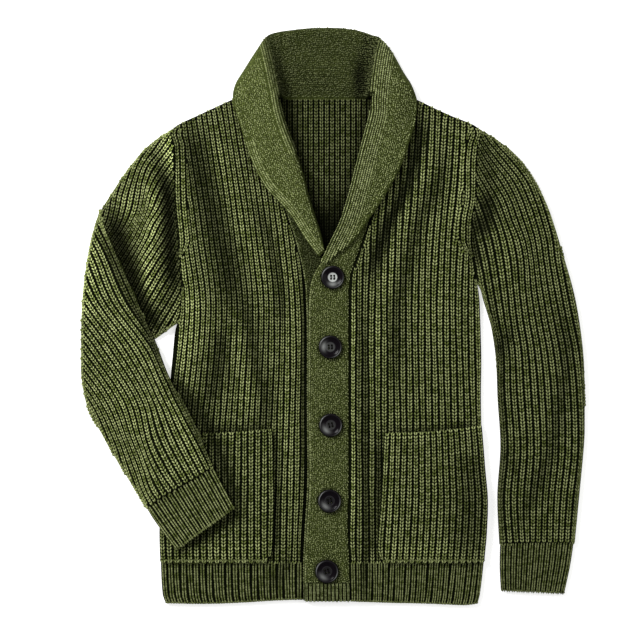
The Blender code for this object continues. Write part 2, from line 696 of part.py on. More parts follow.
def under_forearm(x, y):
    """Top of what the bent sleeve lies on: the floor, the front, and the front's pocket."""
    inside = x - between(BODY_SIDES, y, 1)
    body = step((inside - RAMP_START) / (RAMP_END - RAMP_START))
    lap = step((POCKET_RAMP_START - y) / (POCKET_RAMP_START - POCKET_RAMP_END))
    return body * (OVER_BODY + OVER_POCKET * lap)


def folded_section(section, pitch, thick, floor, high_edge, fit=0.0, shares=(0.3, 0.5, 0.7)):
    """One section of a folded sleeve: ribbed on top, rounded at both edges, plain below."""
    width = math.hypot(section[2] - section[0], section[3] - section[1])
    places = [0.0, 0.3 * SIDE_ROLL / 2, SIDE_ROLL / 2, SIDE_ROLL]
    places = [p for p in places if p < 0.35 * width]
    far = [width - p for p in reversed(places)]
    count = int(width / pitch * 2)
    ribs = [k * pitch / 2 for k in range(count + 1)]
    ribs = [d for d in ribs if places[-1] + 1 < d < far[0] - 1]
    row = []
    for d in places + ribs + far:
        x, y = across(section, d / width, fit)
        rise = roll(min(d, width - d), min(SIDE_ROLL, 0.5 * width))
        rib = RIB * (0.5 - 0.5 * math.cos(2 * math.pi * d / pitch)) if d in ribs else 0.0
        low = floor(x, y)
        base = low + high_edge
        row.append((d / pitch, x, y, base + (thick(x, y, low) - high_edge) * rise + rib))
    under = []
    for share in (0.0, 0.04, *shares, 0.96, 1.0):
        x, y = across(section, share, fit)
        low = floor(x, y)
        under.append((share * width / pitch, x, y, low + (2.2 if share in (0.0, 1.0) else 0.0)))
    return row, under


def bent_sleeve():
    """The right sleeve, bent at the elbow and folded over itself: one rounded solid."""
    def forearm_thick(x, y, low):
        return FOLD_THICK - RIB - 0.12 * low

    outer, inner = [], []
    for section in resample(FOREARM, 17):
        row, under = folded_section(section, RIB_PITCH_FOREARM, forearm_thick, under_forearm, 5.0)
        outer.append(row)
        inner.append(under)
    forearm = wall("sleeve_right", outer, inner, green)

    outer, inner = [], []
    shares = level_shares(UPPER_ARM[0])
    for x_in, y_in, x_out, y_out, high, low, fit in resample(UPPER_ARM, 9):
        section = (x_in, y_in, x_out, y_out)
        width = math.hypot(x_out - x_in, y_out - y_in)
        pitch = width / RIBS_UPPER_ARM

        def thick(x, y, floor_z, high=high, low=low):
            return high - RIB - low

        row, under = folded_section(
            section, pitch, thick, lambda x, y, low=low: low, 2.6, fit, shares
        )
        outer.append([(place * pitch, x, y, z) for place, x, y, z in row])
        inner.append([(place * pitch, x, y, z) for place, x, y, z in under])
    upper = wall("upper_arm", outer, inner, green)
    return forearm, upper


def join_upper_arm(forearm, upper):
    """Unite the forearm with the upper arm that it folds over, as one solid."""
    cutters.objects.link(upper)
    garment.objects.unlink(upper)
    upper.hide_render = True
    upper.display_type = "WIRE"
    union = forearm.modifiers.new("elbow", "BOOLEAN")
    union.operation = "UNION"
    union.solver = "EXACT"
    union.object = upper


def collar():
    """The shawl collar: folded over at the neck, its layers sharing one rounded solid."""
    outer, inner = [], []
    for row_at in resample(COLLAR, COLLAR_SECTIONS):
        x_in, y_in, x_out, y_out, z_in, z_mid, z_out, seat_in, seat, behind = row_at
        section = (x_in, y_in, x_out, y_out)
        width = math.hypot(x_out - x_in, y_out - y_in)
        reach = min(1.0, width / 40.0)
        neck_round = 5.0 * reach
        free_round = (2.4 + 5.0 * step((6.0 - seat) / 6.0)) * reach
        places = [0.0, 0.08 * neck_round, 0.35 * neck_round, neck_round]
        ridge = COLLAR_RIDGE_STEP * reach
        places += [neck_round + ridge * 0.5 * k for k in range(1, 2 * COLLAR_RIDGES + 1)]
        rest = width - free_round - places[-1]
        places += [places[-1] + rest * share for share in (0.3, 0.6, 1.0)]
        places += [width - 0.3 * free_round, width]
        row = []
        for at, d in enumerate(places):
            share = d / width
            if share < 0.5:
                top = z_in + (z_mid - z_in) * step(share * 2) ** 0.9
            else:
                top = z_mid + (z_out - z_mid) * (share * 2 - 1) ** 1.4
            edge = roll(d, neck_round) if share < 0.5 else roll(width - d, free_round)
            low = seat_in + 1.2 if share < 0.5 else seat + 1.2
            groove = COLLAR_RIDGE * (1 - behind) * reach if 3 < at < 10 and at % 2 == 0 else 0.0
            x, y = across(section, share)
            row.append((at, x, y, low + (top - low) * edge - groove))
        outer.append(row)
        under = []
        for at, (share, z) in enumerate(
            ((0.0, seat_in), (0.22, seat_in), (0.4, seat), (0.75, seat), (1.0, seat))
        ):
            x, y = across(section, share)
            under.append((at * (len(places) - 1) / 4, x, y, z))
        inner.append(under)
    return wall("collar", outer, inner, green_band)


def button(number, x, y):
    """Four-hole button: a turned, rimmed dish with the holes bored through."""
    x, y = x + SHIFT_X, y + SHIFT_Y
    base = OVERBAND_LOW + BAND_THICK + BAND_CROWN + SEAM
    profile = (
        (0.0, 2.4), (5.0, 2.5), (8.0, 3.1), (11.6, 4.5), (13.4, BUTTON_THICK),
        (14.8, 3.9), (BUTTON_RADIUS, 2.4), (13.6, 0.7), (9.5, 0.0), (0.0, 0.0),
    )
    name = f"button_{number}"
    mesh = bpy.data.meshes.new(name)
    points = [(radius * MM, 0.0, height * MM) for radius, height in profile]
    mesh.from_pydata(points, [(k, k + 1) for k in range(len(points) - 1)], [])
    mesh.materials.append(horn)
    item = bpy.data.objects.new(name, mesh)
    garment.objects.link(item)
    item.parent = root
    item.location = (x * MM, y * MM, base * MM)
    turn = item.modifiers.new("turned", "SCREW")
    turn.steps = 24
    turn.render_steps = 24
    turn.use_merge_vertices = True
    turn.merge_threshold = 0.00001
    turn.use_normal_flip = False
    for corner in range(4):
        angle = math.radians(45 + 90 * corner)
        bpy.ops.mesh.primitive_cylinder_add(vertices=8, radius=1.3 * MM, depth=12 * MM)
        drill = bpy.context.object
        drill.name = f"drill_{number}_{corner}"
        drill.location = (
            (x + 3.3 * math.cos(angle)) * MM, (y + 3.3 * math.sin(angle)) * MM, base * MM,
        )
        for owner in list(drill.users_collection):
            owner.objects.unlink(drill)
        cutters.objects.link(drill)
        drill.parent = root
        drill.hide_render = True
        drill.display_type = "WIRE"
        bore = item.modifiers.new(f"hole_{corner}", "BOOLEAN")
        bore.operation = "DIFFERENCE"
        bore.solver = "EXACT"
        bore.object = drill
    return item


for stale in list(bpy.data.objects):
    bpy.data.objects.remove(stale)
garment = bpy.data.collections.new("shawl_collar_cardigan")
cutters = bpy.data.collections.new("cutters")
bpy.context.scene.collection.children.link(garment)
bpy.context.scene.collection.children.link(cutters)
root = bpy.data.objects.new("garment", None)
garment.objects.link(root)

green = cloth_material("rib_knit_wool", GREEN, 0.9)
green_band = cloth_material("dense_knit_wool", GREEN_BAND, 0.9)
horn = cloth_material("dark_horn", HORN, 0.3)

back_panel()
hem_back()
front("front_right", right_limits, RIGHT_FRONT_RIBS, RIBS_RIGHT_FRONT)
front("front_left", left_limits, LEFT_FRONT_RIBS, RIBS_LEFT_FRONT)
hem_front("hem_front_right", right_limits, RIGHT_FRONT_RIBS, RIBS_RIGHT_FRONT)
hem_front("hem_front_left", left_limits, LEFT_FRONT_RIBS, RIBS_LEFT_FRONT)
band("button_band", BUTTON_BAND, FRONT_LOW, 0.0)
band("buttonhole_band", BUTTONHOLE_BAND, OVERBAND_LOW, BAND_CROWN)
pocket("pocket_right", RIGHT_POCKET, RIGHT_FRONT_RIBS, RIBS_RIGHT_FRONT)
pocket("pocket_left", LEFT_POCKET, LEFT_FRONT_RIBS, RIBS_LEFT_FRONT)
laid_tube("sleeve_left", resample(LEFT_SLEEVE, 19), RIBS_SLEEVE, on_floor, green, RIB)
laid_tube("cuff_left", LEFT_CUFF, RIBS_CUFF, on_floor, green, 1.3)
join_upper_arm(*bent_sleeve())
laid_tube("cuff_right", RIGHT_CUFF, RIBS_CUFF, under_forearm, green, 1.3)
collar()
for number, (x, y) in enumerate(BUTTONS, 1):
    button(number, x, y)
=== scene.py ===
import math

import bmesh
import bpy
import numpy as np
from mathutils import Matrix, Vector
from mathutils.bvhtree import BVHTree


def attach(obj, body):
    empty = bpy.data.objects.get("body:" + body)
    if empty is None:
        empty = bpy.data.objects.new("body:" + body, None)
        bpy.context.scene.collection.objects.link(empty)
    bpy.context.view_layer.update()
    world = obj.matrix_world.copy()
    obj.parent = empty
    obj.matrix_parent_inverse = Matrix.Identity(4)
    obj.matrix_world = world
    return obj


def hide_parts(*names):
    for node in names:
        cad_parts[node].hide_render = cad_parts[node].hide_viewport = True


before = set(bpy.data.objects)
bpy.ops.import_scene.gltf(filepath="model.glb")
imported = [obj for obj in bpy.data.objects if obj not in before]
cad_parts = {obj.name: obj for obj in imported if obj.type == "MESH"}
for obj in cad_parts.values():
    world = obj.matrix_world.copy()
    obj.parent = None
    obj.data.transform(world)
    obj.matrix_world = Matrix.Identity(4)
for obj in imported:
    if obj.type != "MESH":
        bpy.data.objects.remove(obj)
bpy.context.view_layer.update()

# ------------------------------------------------------------------------------- Studio
# A pale light table, one large soft box from the upper left, a weaker one from the right and
# a pale room. The camera looks straight down on the garment.

MM = 0.001
SHIFT = (0.05, -0.75)    # the tables are drawn from the middle button line, in millimetres


def linear(code):
    """Linear colour of an sRGB hex code."""
    parts = [int(code[at:at + 2], 16) / 255 for at in (1, 3, 5)]
    return (*(c / 12.92 if c <= 0.04045 else ((c + 0.055) / 1.055) ** 2.4 for c in parts), 1.0)


def add_node(tree, kind, settings=None, inputs=None):
    """Add a node, set its properties, and set or link its inputs."""
    node = tree.nodes.new(kind)
    for key, value in (settings or {}).items():
        setattr(node, key, value)
    for key, value in (inputs or {}).items():
        if isinstance(value, bpy.types.NodeSocket):
            tree.links.new(value, node.inputs[key])
        else:
            node.inputs[key].default_value = value
    return node


def start_material(name, constants):
    """A material with constants set on its shader, with its tree and shader to build on."""
    material = bpy.data.materials.new(name)
    material.use_nodes = True
    shader = material.node_tree.nodes["Principled BSDF"]
    for key, value in constants.items():
        shader.inputs[key].default_value = value
    return material, material.node_tree, shader


def show(name, data):
    """Put a mesh, a lamp or a camera into the scene."""
    item = bpy.data.objects.new(name, data)
    bpy.context.scene.collection.objects.link(item)
    return item


def soft_box(name, place, size, power):
    """A square soft box that faces the garment's middle."""
    lamp = bpy.data.lights.new(name, "AREA")
    lamp.shape = "SQUARE"
    lamp.size = size
    lamp.energy = power
    item = show(name, lamp)
    item.location = place
    item.rotation_euler = (-Vector(place)).to_track_quat("-Z", "Y").to_euler()


# Opal acrylic of a light table: matt white, lit a little from below.
opal_acrylic, _, _ = start_material("opal_acrylic", {
    "Base Color": linear("#f4f4f2"), "Roughness": 0.8,
    "Emission Color": linear("#ffffff"), "Emission Strength": 0.58,
})
REACH = 6.0    # metres from the table's middle to its sides
table_mesh = bpy.data.meshes.new("table_top")
table_mesh.from_pydata(
    [(-REACH, -REACH, 0.0), (REACH, -REACH, 0.0), (REACH, REACH, 0.0), (-REACH, REACH, 0.0)],
    [], [(0, 1, 2, 3)],
)
table_mesh.materials.append(opal_acrylic)
table_top = show("table_top", table_mesh)

soft_box("soft_box_left", (-1.6, 1.3, 1.7), 1.0, 76)
soft_box("soft_box_right", (1.9, 0.2, 1.9), 1.6, 14)
room = bpy.data.worlds.new("pale_room")
room.use_nodes = True
glow = room.node_tree.nodes["Background"].inputs
glow["Color"].default_value = (1.0, 1.0, 1.0, 1.0)
glow["Strength"].default_value = 0.32
bpy.context.scene.world = room
bpy.context.scene.view_settings.view_transform = "Standard"

camera_data = bpy.data.cameras.new("camera")
camera_data.lens = 100
camera_data.sensor_width = 36
camera_data.clip_end = 20
camera = show("camera", camera_data)
camera.location = (-0.01685, -0.00621, 2.3231)
bpy.context.scene.camera = camera

# --------------------------------------------------------------------------------- Back
# The back panel: one flat panel of chunky rib knit wool that the garment lies on. Only its
# inner side shows, in the neck, where the ribs run up to the collar's seam.

CLOTH = 3.2            # thickness of the knitted wall without its ribs
RIB = 1.7              # how high the ribs stand on it
SEAM = 0.3             # gap between two pieces
SUNK = 0.5             # the cloth between the ribs lies a little deeper than the plain wall
FRONT_LOW = CLOTH + SEAM
COURSE = 4.15          # one row of stitches
RIB_NOMINAL = 8.0      # width of the rib that the stitch is drawn for
SHOULDER = 282.0       # height of the seam between the back and the collar
HEM_SEAM = -321.3      # height at which the hem ribs are knitted on
BODY_SIDES = (
    # y, right side x, left side x
    (282, -131.5, 109), (263.5, -171.5, 148), (244, -209, 191),
    (222, -207.5, 189), (201, -206.5, 187), (152, -205.5, 186),
    (127, -203.5, 181.5), (102.5, -201, 180.5), (77.5, -199.5, 182),
    (51.5, -197.5, 186.5), (24.5, -197.5, 190.8), (-0.5, -200, 192),
    (-18.5, -205.5, 192.6), (-57.5, -209.5, 193.5), (-109.5, -214.5, 193),
    (-161.5, -219, 194.5), (-205.5, -223, 199), (-234.5, -224.5, 201.5),
    (-278.5, -226, 200.5), (-322, -224.5, 196.5), (-358, -222, 191.5),
    (-367, -218, 188.5),
)
NECK_RIBS = (-74.0, 58.0, 19)    # first and last x, and how many ribs between them
NECK_LOW = 85.0        # the back's ribs run down to here, under the fronts


def between(table, y, column=1):
    """Value of a column at y, on a smooth curve through a table whose first column falls."""
    if y >= table[0][0]:
        return table[0][column]
    if y <= table[-1][0]:
        return table[-1][column]
    at = next(i for i in range(len(table) - 1) if table[i + 1][0] <= y)
    y0, y1 = table[at][0], table[at + 1][0]
    v0, v1 = table[at][column], table[at + 1][column]

    def slope(i):
        low, high = max(i - 1, 0), min(i + 1, len(table) - 1)
        return (table[high][column] - table[low][column]) / (table[high][0] - table[low][0])

    run = y1 - y0
    t = (y - y0) / run
    return (
        v0 * (2 * t**3 - 3 * t**2 + 1)
        + run * slope(at) * (t**3 - 2 * t**2 + t)
        + v1 * (-2 * t**3 + 3 * t**2)
        + run * slope(at + 1) * (t**3 - t**2)
    )


def sides_at(table, y):
    """The two edges that a table gives at y."""
    return between(table, y, 1), between(table, y, 2)


def from_side(x, y):
    """Distance from the body's nearer side."""
    low, high = sides_at(BODY_SIDES, y)
    return min(x - low, high - x)


def clamp(t):
    return min(max(t, 0.0), 1.0)


def step(t):
    """Soft step from 0 to 1."""
    t = clamp(t)
    return t * t * (3 - 2 * t)


def roll(distance, radius):
    """Rounded edge: 0 at the edge, 1 from the radius inwards."""
    return math.sqrt(1 - (1 - clamp(distance / radius)) ** 2)


def bell(distance, width):
    """Bell curve: 1 at no distance, and fading away over the width."""
    return math.exp(-((distance / width) ** 2))


def spread(start, end, count):
    """Evenly spread numbers from start to end."""
    return [start + (end - start) * k / (count - 1) for k in range(count)]


def rimmed(low, high, rim, inset, count):
    """Numbers from low to high: the rim's distances from both ends, and an even spread
    between two insets."""
    return ([low + d for d in rim] + spread(low + inset, high - inset, count)
            + [high - d for d in reversed(rim)])


def make_object(name, points, faces, material):
    """Mesh object from points in millimetres, at the origin."""
    mesh = bpy.data.meshes.new(name)
    moved = (np.array(points, dtype=float) + (*SHIFT, 0.0)) * MM
    mesh.from_pydata([tuple(p) for p in moved], [], faces)
    mesh.materials.append(material)
    mesh.shade_smooth()
    return show(name, mesh)


def wall(name, outer, inner, material, wrapped=False):
    """Closed wall between two grids of points, open all round or wrapped into a tube."""
    rows, columns = len(outer), len(outer[0])
    points = [p for grid in (outer, inner) for row in grid for p in row]
    across = range(columns if wrapped else columns - 1)
    faces = []

    def add_face(*corners, flip=False):
        face = [side * rows * columns + row * columns + column % columns
                for side, row, column in corners]
        faces.append(face[::-1] if flip else face)

    for row in range(rows - 1):
        for column in across:
            for side in (0, 1):
                add_face((side, row, column), (side, row + 1, column),
                         (side, row + 1, column + 1), (side, row, column + 1), flip=side == 1)
    for column in across:
        for row, flip in ((0, False), (rows - 1, True)):
            add_face((0, row, column), (0, row, column + 1), (1, row, column + 1),
                     (1, row, column), flip=flip)
    if not wrapped:
        for row in range(rows - 1):
            for column, flip in ((0, True), (columns - 1, False)):
                add_face((0, row, column), (0, row + 1, column), (1, row + 1, column),
                         (1, row, column), flip=flip)
    cloth = make_object(name, points, faces, material)
    shell = bmesh.new()
    shell.from_mesh(cloth.data)
    if shell.calc_volume(signed=True) < 0:
        cloth.data.flip_normals()
    shell.free()
    if material == valley_shade_wool:
        cloth.data.materials.append(purl_wool)
        for face in cloth.data.polygons:
            face.material_index = int(face.normal.z < 0.3)
    return cloth


def panel(name, levels, limits, top, under, material, columns=56):
    """Wall of a flat-laid panel whose sections are level."""
    outer, inner = [], []
    for y in levels:
        low, high = limits(y)
        width = high - low
        rim = [d / width for d in (0.0, 0.6, 2.0, 4.5, 7.0)]
        xs = [low + width * s for s in rimmed(0.0, 1.0, rim, 10.0 / width, columns)]
        outer.append([(x, y, top(x, y)) for x in xs])
        inner.append([(x, y, under(x, y)) for x in xs])
    return wall(name, outer, inner, material)


def mixed(tree, factor, one, two):
    """Mix of two colours."""
    inputs = {"Factor": factor, "A": one, "B": two}
    return add_node(tree, "ShaderNodeMix", {"data_type": "RGBA"}, inputs).outputs["Result"]


def mark(tree, name):
    """Value that a mesh carries at each point."""
    return add_node(tree, "ShaderNodeAttribute", {"attribute_name": name}).outputs["Fac"]


def wool(name, deep, body, light, relief, shaded=True, with_tone_and_painted_light=True, uneven=0.22, fleck=270.0,
         columns=False):
    """Melange wool yarn: three greens mixed fibre by fibre. Painted shade darkens it where a strand
    dips low, and it is scaled by the tone and painted light and shade that its mesh carries.
    Its columns are the ribs of a face that has no stitches of its own."""
    material, tree, shader = start_material(name, {
        "Roughness": 0.9, "Specular IOR Level": 0.04, "Sheen Weight": 0.03,
        "Sheen Roughness": 0.5, "Sheen Tint": linear("#8c9a58"),
    })
    place = add_node(tree, "ShaderNodeTexCoord").outputs["Object"]

    def noise(scale, detail, roughness):
        return add_node(tree, "ShaderNodeTexNoise", None, {
            "Vector": place, "Scale": scale, "Detail": detail, "Roughness": roughness,
        }).outputs["Fac"]

    flecks = add_node(tree, "ShaderNodeMath", {"operation": "MULTIPLY_ADD"}, {
        0: mark(tree, "tint"), 1: uneven, 2: noise(fleck, 2.0, 0.6)})
    melange = add_node(tree, "ShaderNodeMapRange", {"interpolation_type": "SMOOTHSTEP"}, {
        "Value": flecks.outputs[0], "From Min": 0.42, "From Max": 0.82})
    colour = mixed(tree, melange.outputs[0], linear(body), linear(light))
    if columns:
        valleys = add_node(
            tree, "ShaderNodeTexWave", {"wave_type": "BANDS", "bands_direction": "X"},
            {"Vector": place, "Scale": 20.0, "Distortion": 0.6})
        colour = mixed(tree, valleys.outputs["Fac"], linear(deep), colour)
    # Tone and painted light and shade: the colour is scaled by the value that each point carries.
    if with_tone_and_painted_light:
        colour = add_node(tree, "ShaderNodeVectorMath", {"operation": "SCALE"}, {
            "Vector": colour, "Scale": mark(tree, "tone")}).outputs["Vector"]
    # Painted shade: the low parts of each strand are mixed towards the deep colour.
    if shaded:
        colour = mixed(tree, mark(tree, "shade"), linear(deep), colour)
    bump = add_node(tree, "ShaderNodeBump", None, {
        "Strength": relief, "Distance": 0.0005, "Height": noise(620.0, 3.0, 0.7)})
    tree.links.new(colour, shader.inputs["Base Color"])
    tree.links.new(bump.outputs["Normal"], shader.inputs["Normal"])
    return material


def carry(mesh, name, values, kind="FLOAT", key="value"):
    """Let a mesh carry a value at each point."""
    mesh.attributes.new(name, kind, "POINT").data.foreach_set(key, values)


def bit_of_yarn(name, points, faces, shades):
    """Small mesh that the knitting repeats. It carries a painted shade, 0 low down and 1 on top."""
    mesh = bpy.data.meshes.new(name)
    mesh.from_pydata([tuple(c * MM for c in p) for p in points], [], faces)
    mesh.shade_smooth()
    carry(mesh, "shade", shades)
    return show(name, mesh)


def stitch(name, reach, slant, thick, high, length):
    """One V stitch of two plump legs that meet at its lower end, in millimetres."""
    points, faces, shades = [], [], []
    around = ((-1.0, 0.0), (-0.8, 0.72), (0.0, 1.0), (0.8, 0.72), (1.0, 0.0))
    for side in (-1, 1):
        start = len(points)
        first = Vector((side * reach, -0.58 * length, 0.0))
        last = Vector((side * (reach - slant), 0.58 * length, 0.0))
        across = (last - first).normalized().cross(Vector((0, 0, 1)))
        points.append(tuple(first + Vector((0, 0, 0.22 * high))))
        shades.append(0.2)
        for share, plump in ((0.26, 0.86), (0.72, 0.92)):
            for x, z in around:
                p = first.lerp(last, share) + across * (x * thick * plump)
                points.append(tuple(p + Vector((0, 0, z * high * plump))))
                shades.append(z * z)
        points.append(tuple(last + Vector((0, 0, 0.3 * high))))
        shades.append(0.3)
        tip, one, two = len(points) - 1, start + 1, start + 1 + len(around)
        for k in range(len(around)):
            n = (k + 1) % len(around)
            faces.append((start, one + k, one + n))
            faces.append((one + k, two + k, two + n, one + n))
            faces.append((two + k, tip, two + n))
    return bit_of_yarn(name, points, faces, shades)


def knit_tree():
    """Geometry nodes that knit along guide lines: one stitch at every course of every rib."""
    tree = bpy.data.node_groups.new("knit_along_ribs", "GeometryNodeTree")
    tree.interface.new_socket("Geometry", in_out="OUTPUT", socket_type="NodeSocketGeometry")
    for label, kind in (
        ("Geometry", "Geometry"), ("Stitch", "Object"), ("Course", "Float"),
        ("Nominal Rib", "Float"), ("Swing", "Float"), ("Uneven", "Float"), ("Stray", "Float"),
        ("Seed", "Int"), ("Yarn", "Material"),
    ):
        tree.interface.new_socket(label, in_out="INPUT", socket_type=f"NodeSocket{kind}")
    given = add_node(tree, "NodeGroupInput").outputs

    def put(kind, output, inputs=None, **settings):
        """Add a node and take one of its outputs."""
        return add_node(tree, kind, settings, inputs).outputs[output]

    def vector(operation, inputs):
        return put("ShaderNodeVectorMath", "Vector", inputs, operation=operation)

    def chance(x, y, z):
        """Random vector that reaches this far either way."""
        inputs = {"Min": (-x, -y, -z), "Max": (x, y, z), "Seed": given["Seed"]}
        return put("FunctionNodeRandomValue", "Value", inputs, data_type="FLOAT_VECTOR")

    def named(name, kind="FLOAT"):
        return put("GeometryNodeInputNamedAttribute", "Attribute", {"Name": name}, data_type=kind)

    def marked(instances, name, value):
        """Instances that carry a value each."""
        inputs = {"Geometry": instances, "Name": name, "Value": value}
        return put("GeometryNodeStoreNamedAttribute", "Geometry", inputs, data_type="FLOAT",
                   domain="INSTANCE")

    lines = put("GeometryNodeMeshToCurve", "Curve", {"Mesh": given["Geometry"]})
    courses = put("GeometryNodeResampleCurve", "Curve",
                  {"Curve": lines, "Length": given["Course"]}, mode="LENGTH")
    stray = vector("SCALE", {"Vector": chance(0.5, 0.5, 0.1), "Scale": given["Stray"]})
    uneven = vector("SCALE", {"Vector": chance(0.5, 0.5, 0.7), "Scale": given["Uneven"]})
    ratio = put("ShaderNodeMath", 0, {0: named("wide"), 1: given["Nominal Rib"]},
                operation="DIVIDE")
    fit = put("ShaderNodeCombineXYZ", 0, {"X": ratio, "Y": 1.0, "Z": 1.0})
    turn = put(
        "FunctionNodeAxesToRotation", "Rotation",
        {"Primary Axis": named("out", "FLOAT_VECTOR"),
         "Secondary Axis": put("GeometryNodeInputTangent", "Tangent")},
        primary_axis="Z", secondary_axis="Y",
    )
    placed = put("GeometryNodeInstanceOnPoints", "Instances", {
        "Points": put("GeometryNodeSetPosition", "Geometry",
                      {"Geometry": courses, "Offset": stray}),
        "Instance": put("GeometryNodeObjectInfo", "Geometry", {"Object": given["Stitch"]}),
        "Rotation": turn,
        "Scale": vector("MULTIPLY", {0: fit, 1: vector("ADD", {0: uneven, 1: (1.0, 1.0, 1.0)})}),
    })
    lean = put("FunctionNodeRandomValue", 1, {"Max": given["Swing"], "Seed": given["Seed"]},
               data_type="FLOAT")
    back = put("ShaderNodeMath", 0, {0: given["Swing"], 1: -0.5, 2: lean},
               operation="MULTIPLY_ADD")
    swung = put("GeometryNodeRotateInstances", "Instances", {
        "Instances": placed, "Rotation": put("ShaderNodeCombineXYZ", 0, {"Z": back})})
    tint = put("FunctionNodeRandomValue", 1, {"Seed": given["Seed"]}, data_type="FLOAT")
    with_tone_and_painted_light = marked(marked(swung, "tint", tint), "tone", named("tone"))
    real = put("GeometryNodeRealizeInstances", "Geometry", {"Geometry": with_tone_and_painted_light})
    dyed = put("GeometryNodeSetMaterial", "Geometry", {"Geometry": real, "Material": given["Yarn"]})
    add_node(tree, "NodeGroupOutput", None, {"Geometry": dyed})
    return tree


def normal_at(surface, u, v, du=0.6, dv=0.6):
    """Outward direction of a surface at (u, v), whose u runs to the left of its v."""
    step_u = Vector(surface(u + du, v)) - Vector(surface(u - du, v))
    step_v = Vector(surface(u, v + dv)) - Vector(surface(u, v - dv))
    out = step_u.cross(step_v)
    return out.normalized() if out.length > 1e-9 else Vector((0, 0, 1))


def lay_map(mesh):
    """Lay out the texture map of stitches as seen from above. Faces that look down share a
    small corner of it."""
    def read(layer, key, count, kind):
        values = np.empty(count, dtype=kind)
        layer.foreach_get(key, values)
        return values

    count = len(mesh.polygons)
    places = read(mesh.vertices, "co", len(mesh.vertices) * 3, float)
    corners = read(mesh.loops, "vertex_index", len(mesh.loops), np.int32)
    up = read(mesh.polygons, "normal", count * 3, float)
    sides = read(mesh.polygons, "loop_total", count, np.int32)
    flat = places.reshape(-1, 3)[corners, :2]
    low = flat.min(axis=0)
    flat = 0.03 + 0.96 * (flat - low) / (flat.max(axis=0) - low).max()
    down = np.repeat(up.reshape(-1, 3)[:, 2] < 0.02, sides)
    flat[down] *= 0.02
    texture = mesh.uv_layers.get("OFBake") or mesh.uv_layers.new(name="OFBake")
    texture.data.foreach_set("uv", flat.ravel())


def as_shown(item):
    """An object's mesh with its modifiers worked out."""
    view = bpy.context.evaluated_depsgraph_get()
    view.update()
    return bpy.data.meshes.new_from_object(item.evaluated_get(view))


def knit(name, guides, stitch_object, nominal, course, yarn, seed, swing=0.12, tone_and_painted_light_at=None,
         uneven=0.16, stray=0.0):
    """Knit stitches along guide lines, each a list of (point, outward, rib width)."""
    points, edges, outs, wides, tones_and_painted_light = [], [], [], [], []
    for guide in guides:
        if len(guide) < 2:
            continue
        start = len(points)
        for point, out, wide in guide:
            points.append([(c + s) * MM for c, s in zip(point, (*SHIFT, 0.0))])
            outs.extend(out)
            wides.append(wide * MM)
            tones_and_painted_light.append(tone_and_painted_light_at(*point) if tone_and_painted_light_at else 1.0)
        edges += [(start + k, start + k + 1) for k in range(len(guide) - 1)]
    mesh = bpy.data.meshes.new(name)
    mesh.from_pydata(points, edges, [])
    carry(mesh, "out", outs, "FLOAT_VECTOR", "vector")
    carry(mesh, "wide", wides)
    # Each stitch carries its guide point's tone and painted light and shade.
    carry(mesh, "tone", tones_and_painted_light)
    item = show(name, mesh)
    ribs = item.modifiers.new("knit", "NODES")
    ribs.node_group = knitting
    sockets = {s.name: s.identifier for s in knitting.interface.items_tree if s.in_out == "INPUT"}
    for label, value in (
        ("Stitch", stitch_object), ("Course", course * MM), ("Nominal Rib", nominal * MM),
        ("Swing", swing), ("Uneven", uneven), ("Stray", stray * MM), ("Seed", seed),
        ("Yarn", yarn),
    ):
        ribs[sockets[label]] = value
    knitted = as_shown(item)
    item.modifiers.remove(ribs)
    item.data = knitted
    knitted.name = name
    if not knitted.materials:
        knitted.materials.append(yarn)
    lay_map(knitted)
    return item


def fit_rib(one, two, low, high):
    """Middle and width of the rib between one and two where it shows between two limits. A
    sliver under a third of a rib goes to the rib beside it."""
    a, b = min(one, two), max(one, two)
    sliver = 0.35 * (b - a)
    a = low if a < low + sliver else a
    b = high if b > high - sliver else b
    return ((a + b) / 2, b - a) if b - a > sliver else None


def unbroken(spots):
    """Split one rib's spots into guides at each None, where the rib doesn't show."""
    guides = [[]]
    for spot in spots:
        if spot:
            guides[-1].append(spot)
        elif guides[-1]:
            guides.append([])
    return guides


def straight_ribs(surface, count, place, start, end, gap=5.0):
    """Guides of a flat-laid panel's ribs: place(k, y) gives rib k's x and width at height y,
    or None where it doesn't show."""
    heights = spread(start, end, max(int(abs(end - start) / gap), 2) + 1)
    guides = []
    for k in range(count):
        places = [(y, place(k, y)) for y in heights]
        guides += unbroken([
            found and (surface(found[0], y), normal_at(surface, found[0], y), found[1])
            for y, found in places
        ])
    return guides


def sway(k, v, amount=0.45):
    """How far rib k strays from its line at v, since no hand-laid rib is quite straight."""
    return amount * (math.sin(v / 31 + 1.7 * k) + 0.6 * math.sin(v / 12.5 + 2.9 * k))


knitting = knit_tree()
rib_stitch = stitch("rib_stitch", 2.5, 1.95, 1.2, 2.6, COURSE)
rib_wool = wool("rib_knit_wool_yarn", "#040601", "#6d793c", "#b2bb7e", 0.6, uneven=0.3)
purl_wool = wool("rib_knit_wool_wrong_side", "#12170a", "#4b5526", "#767f48", 0.6, shaded=False,
                 with_tone_and_painted_light=False, columns=True)
# The cloth between the ribs is nearly black: painted shade in the valleys between them.
valley_shade_wool = wool("rib_knit_wool_valley_shade", "#000000", "#070a02", "#0f1306", 0.5, shaded=False,
                   with_tone_and_painted_light=False)


def dress(cloth, stitches, node, area):
    """Bind a piece and its stitches to the body and hide the imported part that they replace."""
    for piece in (cloth, stitches):
        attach(piece, "root")
    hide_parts(node)


def back_top(x, y):
    return CLOTH * (0.55 + 0.45 * roll(from_side(x, y), 3.0)) - 0.9 * step((y - 60) / 30)


def back_limits(y):
    """Sides of the back, which narrows where it runs up under the collar."""
    low, high = sides_at(BODY_SIDES, y)
    tuck = 1.6 * max(y - SHOULDER, 0.0)
    return low + tuck, high - tuck


